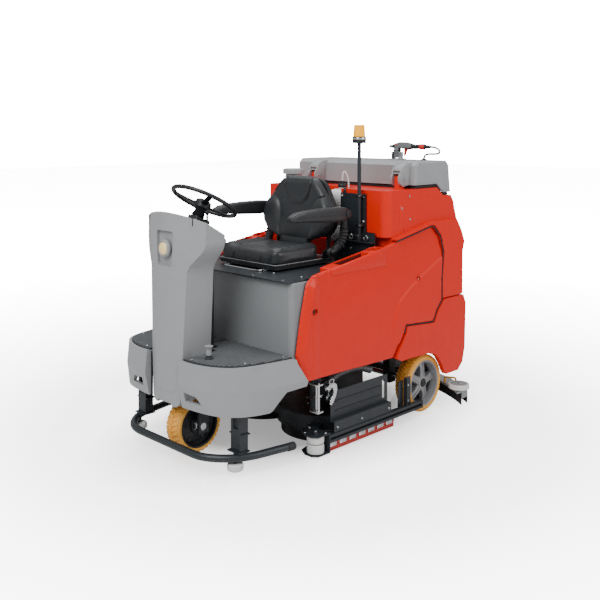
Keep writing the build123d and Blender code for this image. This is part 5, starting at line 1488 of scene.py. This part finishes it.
# rolled ledge round the lid's lower edge
for sx, tg in ((1, "left"), (-1, "right")):
    e = [(sx * 0.4915, st(s), z) for s, z in ((1.236, 1.3545), (1.330, 1.3545), (1.436, 1.3545), (1.462, 1.338), (1.488, 1.316), (1.510, 1.3010), (1.560, 1.3005), (1.584, 1.3005))]
    tube(tg + "_lid_bead", e, 0.0030, "lid", "lid", seg=8, n=4)

# ------------------------------------------------ spray gun
gs, gz = st(1.450), 1.574
gun = [(0.0075, 0.122), (0.0095, 0.124), (0.0105, 0.150), (0.0145, 0.156), (0.0150, 0.176), (0.0135, 0.182), (0.0135, 0.300), (0.0150, 0.304), (0.0155, 0.330),
       (0.0145, 0.336), (0.0145, 0.372), (0.0155, 0.378), (0.0155, 0.394), (0.0125, 0.400), (0.0118, 0.412), (0.0, 0.412)]
bm = bmesh.new()
lathe_bm(bm, [(0, 0.122)] + gun, (0, gs, gz), (1, 0, 0), 32)
obj_from("gun_barrel", bm, "black", "gun", smooth=40)
lathe("gun_collar", [(0.0158, 0.362), (0.0178, 0.365), (0.0178, 0.396), (0.0158, 0.399)], (0, gs, gz), (1, 0, 0), "trigger", "gun", 32)
lathe("gun_nozzle", [(0.0, 0.1235), (0.0055, 0.1235), (0.0060, 0.1300), (0.0108, 0.1320), (0.0108, 0.1480)], (0, gs, gz), (1, 0, 0), "steel", "gun", 28)
body_pts = round_poly([(0.170, 1.566), (0.176, 1.592), (0.206, 1.602), (0.262, 1.601), (0.300, 1.590), (0.300, 1.566)], 0.006, 3)
prism("gun_body", [(x, z) for x, z in body_pts], "Y", gs - 0.0155, gs + 0.0155, "motor", "gun", bev=0.003, seg=3)
grip = round_poly([(0.163, 1.566), (0.201, 1.566), (0.199, 1.530), (0.201, 1.506), (0.163, 1.506), (0.166, 1.530)], 0.005, 3)
prism("gun_grip", grip, "Y", gs - 0.0140, gs + 0.0140, "motor", "gun", bev=0.0035, seg=3)
for k in range(4):
    rbox("gun_rib_%d" % k, (0.1605, gs - 0.0146, 1.516 + 0.010 * k), (0.2035, gs + 0.0146, 1.520 + 0.010 * k), "rubber", "gun", 0.0015)
rod("gun_lock", (0.188, gs - 0.0165, 1.584), (0.188, gs + 0.0165, 1.584), 0.0055, "trigger", "gun", 20)
tube("gun_trigger_blade", [(0.298, gs, 1.5615), (0.278, gs, 1.5605), (0.262, gs, 1.5560), (0.253, gs, 1.546), (0.250, gs, 1.534)], 0.0064, "trigger", "trigger", seg=12, n=5)
# hose as one soft loop with end sleeves
hp = [(0.412, st(1.450), 1.574), (0.440, st(1.4505), 1.574), (0.470, st(1.456), 1.570), (0.487, st(1.467), 1.558), (0.487, st(1.478), 1.544), (0.468, st(1.489), 1.533),
      (0.430, st(1.4945), 1.529), (0.396, st(1.495), 1.5285), (0.372, st(1.495), 1.523), (0.359, st(1.495), 1.509), (0.356, st(1.495), 1.492), (0.356, st(1.495), 1.440)]
o = tube("gun_hose", hp, 0.0070, "lid", "gun", seg=16, n=8, replaces=("spray_hose",), slot="lid_grey")
lathe("gun_hose_sleeve", [(0.0078, 0.0), (0.0105, 0.001), (0.0105, 0.020), (0.0085, 0.030), (0.0074, 0.032)], (0.411, gs, gz), (1, 0, 0), "rubber", "gun", 24)
lathe("gun_hose_grommet", [(0.0082, 1.4905), (0.0082, 1.5000), (0.0150, 1.4975), (0.0210, 1.4905)], (0.356, st(1.495), 0), (0, 0, 1), "rubber", "lid", 32)
# cradle: two hooked cheeks and a foot
for k, x in enumerate((0.153, 0.211)):
    ck = round_poly([(st(1.432), 1.4905), (st(1.432), 1.530), (st(1.438), 1.5395), (st(1.462), 1.5395), (st(1.468), 1.530), (st(1.468), 1.4905)], 0.004, 3)
    prism("gun_cradle_cheek_%d" % k, ck, "X", x - 0.0035, x + 0.0035, "steel", "lid", bev=0.0008)
lathe("gun_cradle_foot", [(0.0, 1.4960), (0.0, 1.5000), (0.012, 1.5000), (0.014, 1.4975), (0.026, 1.4965), (0.028, 1.4905)], (0.182, st(1.450), 0), (0, 0, 1), "steel", "lid", 32)
for k, (x, s) in enumerate(((0.128, 1.432), (0.224, 1.432), (0.128, 1.468), (0.224, 1.468))):
    screw("gun_cradle_screw_%d" % k, (x, st(s), 1.4960), (0, 0, 1), 0.0055, "steel", "lid", 0.003)

# ------------------------------------------------ deck sides
for sx, tg in ((1, "left"), (-1, "right")):
    X = lambda v: sx * v
    # guard: two pressed ribs and a hemmed edge
    for k, z in enumerate((0.196, 0.246)):
        tube("%s_guard_rib_%d" % (tg, k), [(X(0.5066), st(0.520), z), (X(0.5076), st(0.530), z), (X(0.5076), st(0.880), z), (X(0.5066), st(0.890), z)], 0.0042, "dark", "deck", seg=10, n=1, smooth_pts=False)
    tube(tg + "_guard_hem", [(X(0.5045), st(0.481), 0.300), (X(0.5045), st(0.949), 0.300)], 0.0030, "dark", "deck", seg=10, n=1, smooth_pts=False)
    tube(tg + "_guard_fold", [(X(0.5325), st(0.481), 0.1495), (X(0.5325), st(0.949), 0.1495)], 0.0032, "dark", "deck", seg=10, n=1, smooth_pts=False)
    for k, s in enumerate((0.505, 0.700, 0.930)):
        screw("%s_guard_bolt_%d" % (tg, k), (X(0.5340), st(s), 0.120), (sx, 0, 0), 0.0065, "steel", "deck", 0.004)
    # side rail: rolled edges and end cap
    for k, z in enumerate((0.0545, 0.0915)):
        tube("%s_rail_edge_%d" % (tg, k), [(X(0.5375), st(0.427), z), (X(0.5375), st(1.234), z)], 0.0030, "dark", "deck", seg=10, n=1, smooth_pts=False)
    rbox(tg + "_rail_cap", (min(X(0.511), X(0.541)), st(1.2345), 0.051), (max(X(0.511), X(0.541)), st(1.2385), 0.095), "rubber", "deck", 0.0015)
    # clips that hold the skirt, with red showing between them
    for k in range(7):
        s0 = 0.452 + 0.077 * k
        rbox("%s_skirt_clip_%d" % (tg, k), (min(X(0.5235), X(0.5285)), st(s0), 0.026), (max(X(0.5235), X(0.5285)), st(s0 + 0.052), 0.0535), "steel", "deck", 0.0015)
    rbox(tg + "_skirt_band", (min(X(0.5225), X(0.5262)), st(0.442), 0.0345), (max(X(0.5225), X(0.5262)), st(0.983), 0.0500), "skirt", "deck", 0.001)
    tube(tg + "_skirt_lip", [(X(0.5225), st(0.442), 0.006), (X(0.5225), st(0.983), 0.006)], 0.0030, "skirt", "deck", seg=8, n=1, smooth_pts=False)
    # roller carrier bolts, washers
    rx, rs = X(0.500), 0.372
    lathe(tg + "_roller_bolt", [(0, 0.1290), (0.0070, 0.1290), (0.0090, 0.1275), (0.0092, 0.1195), (0.0145, 0.1190), (0.0145, 0.1120)], (rx, st(rs), 0), (0, 0, 1), "steel", "deck", 6)
    for k, (x, s) in enumerate(((0.420, 0.410), (0.455, 0.340), (0.535, 0.412))):
        screw("%s_carrier_bolt_%d" % (tg, k), (X(x), st(s), 0.1120), (0, 0, 1), 0.0060, "steel", "deck", 0.004)
    # plate before the rear wheel
    for k, z in enumerate((0.115, 0.205)):
        screw("%s_wheel_plate_bolt_%d" % (tg, k), (X(0.5172), st(1.122), z), (sx, 0, 0), 0.0075, "steel", "deck", 0.005)
    pl = round_poly([(st(1.040), 0.092), (st(1.046), 0.225), (st(1.060), 0.238), (st(1.088), 0.238), (st(1.088), 0.092)], 0.006, 3)
    prism(tg + "_wheel_plate_front", pl, "X", min(X(0.5060), X(0.5095)), max(X(0.5060), X(0.5095)), "dark", "deck", bev=0.0008)
    # guide rollers: grooved faces
    for nm, z0, z1 in (("lower", 0.016, 0.062), ("upper", 0.068, 0.104)):
        prof = [(0.030, z1 - 0.0015), (0.034, z1 + 0.0004), (0.040, z1 + 0.0002), (0.0440, z1 - 0.004), (0.0452, z1 - 0.009), (0.0452, z0 + 0.009), (0.0440, z0 + 0.004), (0.0395, z0 + 0.0002)]
        lathe("%s_guide_%s" % (tg, nm), prof, (rx, st(rs), 0), (0, 0, 1), "white", "guide_" + tg[0], 48)
    lathe(tg + "_guide_hub", [(0.0275, 0.0615), (0.0275, 0.0685)], (rx, st(rs), 0), (0, 0, 1), "black", "guide_" + tg[0], 32)

# brush housing: ribs and fasteners on the deck top, hoses to the motors
for sx, tg in ((1, "left"), (-1, "right")):
    bx, bs = sx * 0.248, st(0.700)
    lathe(tg + "_housing_lip", [(0.2625, 0.0625), (0.2655, 0.0650), (0.2655, 0.0720), (0.2625, 0.0760)], (bx, bs, 0), (0, 0, 1), "dark", "deck", 72)
    lathe(tg + "_motor_fins", [(0.0, 0.3205)] + [v for k in range(9) for v in ((0.0630, 0.312 - 0.013 * k), (0.0655, 0.309 - 0.013 * k), (0.0655, 0.305 - 0.013 * k), (0.0630, 0.302 - 0.013 * k))] + [(0.0625, 0.170)],
          (bx, bs, 0), (0, 0, 1), "motor", "deck", 48)
    lathe(tg + "_motor_cap", [(0, 0.3290), (0.030, 0.3290), (0.040, 0.3250), (0.055, 0.3205)], (bx, bs, 0), (0, 0, 1), "black", "deck", 40)
    for k in range(6):
        q = math.pi / 3 * k + 0.3
        screw("%s_housing_bolt_%d" % (tg, k), (bx + 0.100 * math.cos(q), bs + 0.100 * math.sin(q), 0.1505), (0, 0, 1), 0.008, "steel", "deck", 0.005)
    # bristle tufts round the brush
    bm = bmesh.new()
    rnd = random.Random(5)
    for ring_r, cnt in ((0.232, 96), (0.205, 84)):
        for k in range(cnt):
            q = 2 * math.pi * k / cnt
            c, s_ = math.cos(q), math.sin(q)
            m = bmesh.ops.create_cone(bm, cap_ends=True, segments=6, radius1=0.0068, radius2=0.0050, depth=0.058)
            bmesh.ops.translate(bm, vec=(bx + ring_r * c, bs + ring_r * s_, 0.033 + 0.0005 * rnd.random()), verts=m["verts"])
    obj_from(tg + "_bristles", bm, "rubber", "brush_" + tg[0], smooth=40)

# ------------------------------------------------ ledge wells in shade
for sx, tg, body in ((1, "left", "panel_l"), (-1, "right", "panel_r")):
    def span(a, b):
        return tuple(sorted((sx * a, sx * b)))
    xa, xb = span(0.4475, 0.5055)
    rbox(tg + "_tray_floor", (xa, st(0.560), 0.9235), (xb, st(0.792), 0.9255), "well", body, 0.0005, 1)
    rbox(tg + "_tray_wall_front", (xa, st(0.5590), 0.9235), (xb, st(0.5605), 0.9560), "well", body, 0.0003, 1)
    for k, (a, b) in enumerate(((0.4470, 0.4484), (0.5050, 0.5064))):
        ya, yb = st(0.560), st(0.792)
        x0, x1 = span(a, b)
        # side walls follow the ledge's slope
        bm = bmesh.new()
        vs = [bm.verts.new(c) for c in ((x0, ya, 0.924), (x1, ya, 0.924), (x1, yb, 0.924), (x0, yb, 0.924),
                                        (x0, ya, 0.9580), (x1, ya, 0.9580), (x1, yb, 0.9935), (x0, yb, 0.9935))]
        for f in ((0, 3, 2, 1), (4, 5, 6, 7), (0, 1, 5, 4), (1, 2, 6, 5), (2, 3, 7, 6), (3, 0, 4, 7)):
            bm.faces.new([vs[i] for i in f])
        obj_from("%s_tray_wall_%d" % (tg, k), bm, "well", body)
    lathe(tg + "_cup_floor", [(0.0380, 0.9385), (0, 0.9385)], (sx * 0.4770, st(0.866), 0), (0, 0, 1), "well", body, 40)
    lathe(tg + "_cup_wall", [(0.0382, 0.9380), (0.0382, 0.9950), (0.0372, 0.9950), (0.0372, 0.9400)], (sx * 0.4770, st(0.866), 0), (0, 0, 1), "well", body, 48)

# ------------------------------------------------ under the machine
# dark plates between the side panels and the brushes, and a black plate over the brush deck: painted shade for the deep
# shadow under the machine
for sx, tg in ((1, "left"), (-1, "right")):
    a, b = sorted((sx * 0.352, sx * 0.357))
    pl = round_poly([(st(0.330), 0.372), (st(0.330), 0.560), (st(1.040), 0.560), (st(1.085), 0.470), (st(1.085), 0.372)], 0.012, 3)
    prism(tg + "_painted_shade_plate", pl, "X", a, b, "dark", "chassis", bev=0.001)
    for k in range(4):
        screw("%s_liner_bolt_%d" % (tg, k), (sx * 0.357, st(0.400 + 0.19 * k), 0.430), (sx, 0, 0), 0.0075, "steel", "chassis", 0.005)
    a, b = sorted((sx * 0.338, sx * 0.343))
    pd = round_poly([(st(0.505), 0.150), (st(0.505), 0.300), (st(0.930), 0.300), (st(0.930), 0.150)], 0.010, 3)
    # black sheet as painted shade on the deck's inner side
    prism(tg + "_painted_shade_screen", pd, "X", a, b, "black", "deck", bev=0.001)
    # round bellows and hose run over the deck
    bellows(tg + "_deck_hose", [(sx * 0.405, st(0.560), 0.300), (sx * 0.402, st(0.640), 0.336), (sx * 0.400, st(0.740), 0.346), (sx * 0.396, st(0.840), 0.338), (sx * 0.392, st(0.930), 0.306)],
            0.0185, 0.0022, 0.0120, "motor", "deck", 20)

# swing latch before the deck guard: bright post, rungs, pivot boss and the curved handle
rod("latch_bar", (0.472, st(0.412), 0.214), (0.472, st(0.412), 0.350), 0.0092, "chrome", "chassis", 20)
rod("latch_bar_outer", (0.492, st(0.404), 0.205), (0.492, st(0.404), 0.362), 0.0062, "chrome", "chassis", 18)
for k, z in enumerate((0.2110, 0.3530)):
    pts = round_poly([(0.4400, st(0.386)), (0.5020, st(0.386)), (0.5020, st(0.436)), (0.4400, st(0.436))], 0.010, 4)
    prism("latch_rung_%d" % k, pts, "Z", z - 0.0042, z + 0.0042, "chrome", "chassis", bev=0.0008)
    screw("latch_rung_screw_%d" % k, (0.492, st(0.404), z + 0.0042), (0, 0, 1), 0.0075, "steel", "chassis", 0.005)
rbox("latch_arm", (0.4600, st(0.404), 0.2780), (0.4800, st(0.456), 0.2920), "chrome", "chassis", 0.003)
for k, z in enumerate((0.226, 0.262, 0.335)):
    screw("latch_post_bolt_%d" % k, (0.4465, st(0.4495), z), (1, 0, 0), 0.0075, "steel", "chassis", 0.005)
hook = round_poly([(st(a), b) for a, b in ((0.438, 0.334), (0.460, 0.351), (0.492, 0.356), (0.514, 0.341), (0.519, 0.312), (0.508, 0.280),
                                           (0.488, 0.250), (0.472, 0.238), (0.461, 0.246), (0.466, 0.262), (0.484, 0.284), (0.493, 0.306),
                                           (0.490, 0.322), (0.474, 0.331), (0.450, 0.319))], 0.007, 4)
prism("latch_hook", hook, "X", 0.5095, 0.5205, "chrome", "latch", bev=0.003, seg=3)
rod("latch_pivot", (0.488, st(0.460), 0.330), (0.5235, st(0.460), 0.330), 0.0082, "steel", "latch", 20)
tube("latch_ring", [(0.515, st(0.478) + 0.016 * math.cos(t), 0.362 + 0.012 * math.sin(t)) for t in [2 * math.pi * i / 20 for i in range(21)]], 0.0022, "steel", "latch", seg=8, n=1, smooth_pts=False)

# bumper: end caps
for sx, tg in ((1, "left"), (-1, "right")):
    lathe(tg + "_bumper_cap", [(0, 0.0185), (0.012, 0.0175), (0.0190, 0.0120), (0.0205, 0.004), (0.0205, -0.030), (0.0178, -0.031)], (sx * 0.4985, st(0.206), 0.092), (sx * 0.12, 1, 0), "rubber", "chassis", 32)

# squeegee: flat roller faces and hub nuts
for sx, tg in ((1, "l"), (-1, "r")):
    nm = {"l": "left", "r": "right"}[tg]
    ob = NODES[nm + "_squeegee_roller"]
    bb = [ob.matrix_world @ Vector(c) for c in ob.bound_box]
    lo = [min(c[i] for c in bb) for i in range(3)]
    hi = [max(c[i] for c in bb) for i in range(3)]
    cx, cy, zt, R = (lo[0] + hi[0]) / 2, (lo[1] + hi[1]) / 2, hi[2], (hi[0] - lo[0]) / 2
    lathe("%s_squeegee_roller_face" % nm, [(R * 0.30, zt + 0.0005), (R * 0.34, zt + 0.0015), (R * 0.80, zt + 0.0010), (R * 0.86, zt - 0.0005)], (cx, cy, 0), (0, 0, 1), "cast", "squeegee_wheel_" + tg, 48)
    screw("%s_squeegee_roller_nut" % nm, (cx, cy, zt + 0.0040), (0, 0, 1), 0.010, "steel", "squeegee", 0.006)

# rounded edges on the shown moulded and fabricated parts
for nm, w in (("column_cover", 0.0045), ("step_platform", 0.0040), ("seat_box", 0.0040), ("rear_tank", 0.0040), ("rear_fenders", 0.0035), ("tank_lid", 0.0045),
              ("dashboard", 0.0020), ("seat_deck_plate", 0.0012), ("pole_bracket", 0.0012), ("chassis_frame", 0.0012), ("front_bumper", 0.0015), ("brush_deck", 0.0010),
              ("squeegee_frame", 0.0010), ("backrest_shell", 0.0015), ("seat_base", 0.0010)):
    if nm in NODES:
        bevel(NODES[nm], w, 2, 40)

# ------------------------------------------------ closing strips on the grey mouldings
# corner of the column where the dash drops in
for sx, tg in ((1, "left"), (-1, "right")):
    xs = [0.1600 + 0.0022 * i for i in range(18)]
    outer = [(sx * x, nose_y(x) + 0.0004) for x in xs]
    inner = [(sx * x, nose_y(x) + 0.0066) for x in reversed(xs)]
    prism(tg + "_column_corner_strip", outer + inner, "Z", 1.0540, 1.2380, "light", "chassis", bev=0.0, smooth=40)


def platform_outer(t, z):
    # outline of the platform's upper band at parameter t along the edge curves
    TOP = [(160, -226), (318, -206), (435, -130), (490, 10), (522, 180), (534, 300)]
    MID = [(160, -238), (326, -214), (446, -134), (506, 0), (546, 200), (556, 300)]

    def cr(P, t):
        i = min(int(t), len(P) - 2)
        u = t - i
        a = P[max(i - 1, 0)]
        b, c = P[i], P[i + 1]
        d = P[min(i + 2, len(P) - 1)]
        return [0.5 * (2 * b[k] + (c[k] - a[k]) * u + (2 * a[k] - 5 * b[k] + 4 * c[k] - d[k]) * u * u + (3 * b[k] - a[k] - 3 * c[k] + d[k]) * u ** 3) for k in (0, 1)]
    p, q = cr(MID, t), cr(TOP, t)
    w = (z - 0.420) / (0.535 - 0.420)
    return (p[0] + (q[0] - p[0]) * w) / 1000, (p[1] + (q[1] - p[1]) * w) / 1000


for sx, tg in ((1, "left"), (-1, "right")):
    rings = []
    n = 44
    for i in range(n + 1):
        t = 1.6 + 2.6 * i / n
        ring = []
        for z, off in ((0.492, 0.0008), (0.506, 0.0008), (0.519, 0.0008), (0.5290, 0.0010), (0.5290, 0.0070), (0.492, 0.0110)):
            x, s = platform_outer(t, z)
            x1, s1 = platform_outer(t + 0.02, z)
            dx, ds = x1 - x, s1 - s
            h = math.hypot(dx, ds)
            nx, ns = -ds / h, dx / h
            ring.append((sx * (x + nx * off), st(s + ns * off), z))
        rings.append(ring)
    loft_rings(tg + "_platform_lip", rings, "light", "chassis", smooth=40)

# turned cups round the fixing screws of the side panels
for sx, tg, body in ((1, "left", "panel_l"), (-1, "right", "panel_r")):
    for k, (s_, z_, xs, R) in enumerate(((0.338, 0.748, 0.5292, 0.0215), (1.218, 0.806, 0.5262, 0.0155))):
        lathe("%s_panel_cup_%d" % (tg, k), [(R, -0.004), (R, 0.0002), (R - 0.0012, 0.0010), (R - 0.0035, 0.0002), (R - 0.0050, -0.0105), (R * 0.35, -0.0108)],
              (sx * xs, st(s_), z_), (sx, 0, 0), "well", body, 40, smooth=40)

# screws on the seat deck
for k, (x, s) in enumerate(((0.440, 0.330), (0.250, 0.312), (-0.250, 0.312), (-0.440, 0.330), (0.455, 0.520))):
    screw("deck_plate_screw_%d" % k, (x, st(s), 0.918), (0, 0, 1), 0.0065, "steel", "chassis", 0.003)

# centre panel of the backrest carried down behind the cushion
tongue = round_poly([(st(0.6998), 1.0035), (st(0.7030), 1.0300), (st(0.7055), 1.0560), (st(0.7460), 1.0560), (st(0.7460), 1.0035)], [0.006, 0.02, 0.004, 0.004, 0.004], 4)
prism("backrest_tongue", tongue, "X", -0.1085, 0.1085, "vinyl", "backrest", bev=0.004, seg=3, smooth=50, slot="seat_vinyl")
for k, x in enumerate((-0.1060, 0.1060)):
    tube("backrest_tongue_piping_%d" % k, [(x, st(0.6985), 1.006), (x, st(0.7010), 1.028), (x, st(0.7035), 1.050)], 0.0024, "piping", "backrest", seg=8, n=4)

# dark seal in the seam round the rear half of each side panel
for sx, tg, body in ((1, "left", "panel_l"), (-1, "right", "panel_r")):
    m = len(PO)
    run = []
    for i, (y, z) in enumerate(PO):
        if (y > st(1.000) and z > 1.0) or (run and y > st(0.990)):
            y0, z0 = PO[(i - 1) % m]
            y1, z1 = PO[(i + 1) % m]
            h = math.hypot(y1 - y0, z1 - z0) or 1.0
            run.append((sx * 0.5262, y - (z1 - z0) / h * 0.0030, z + (y1 - y0) / h * 0.0030))
    tube(tg + "_panel_seal", run, 0.0040, "rubber", body, seg=8, n=1, smooth_pts=False)


# ------------------------------------------------------------------ finish
lo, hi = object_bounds()
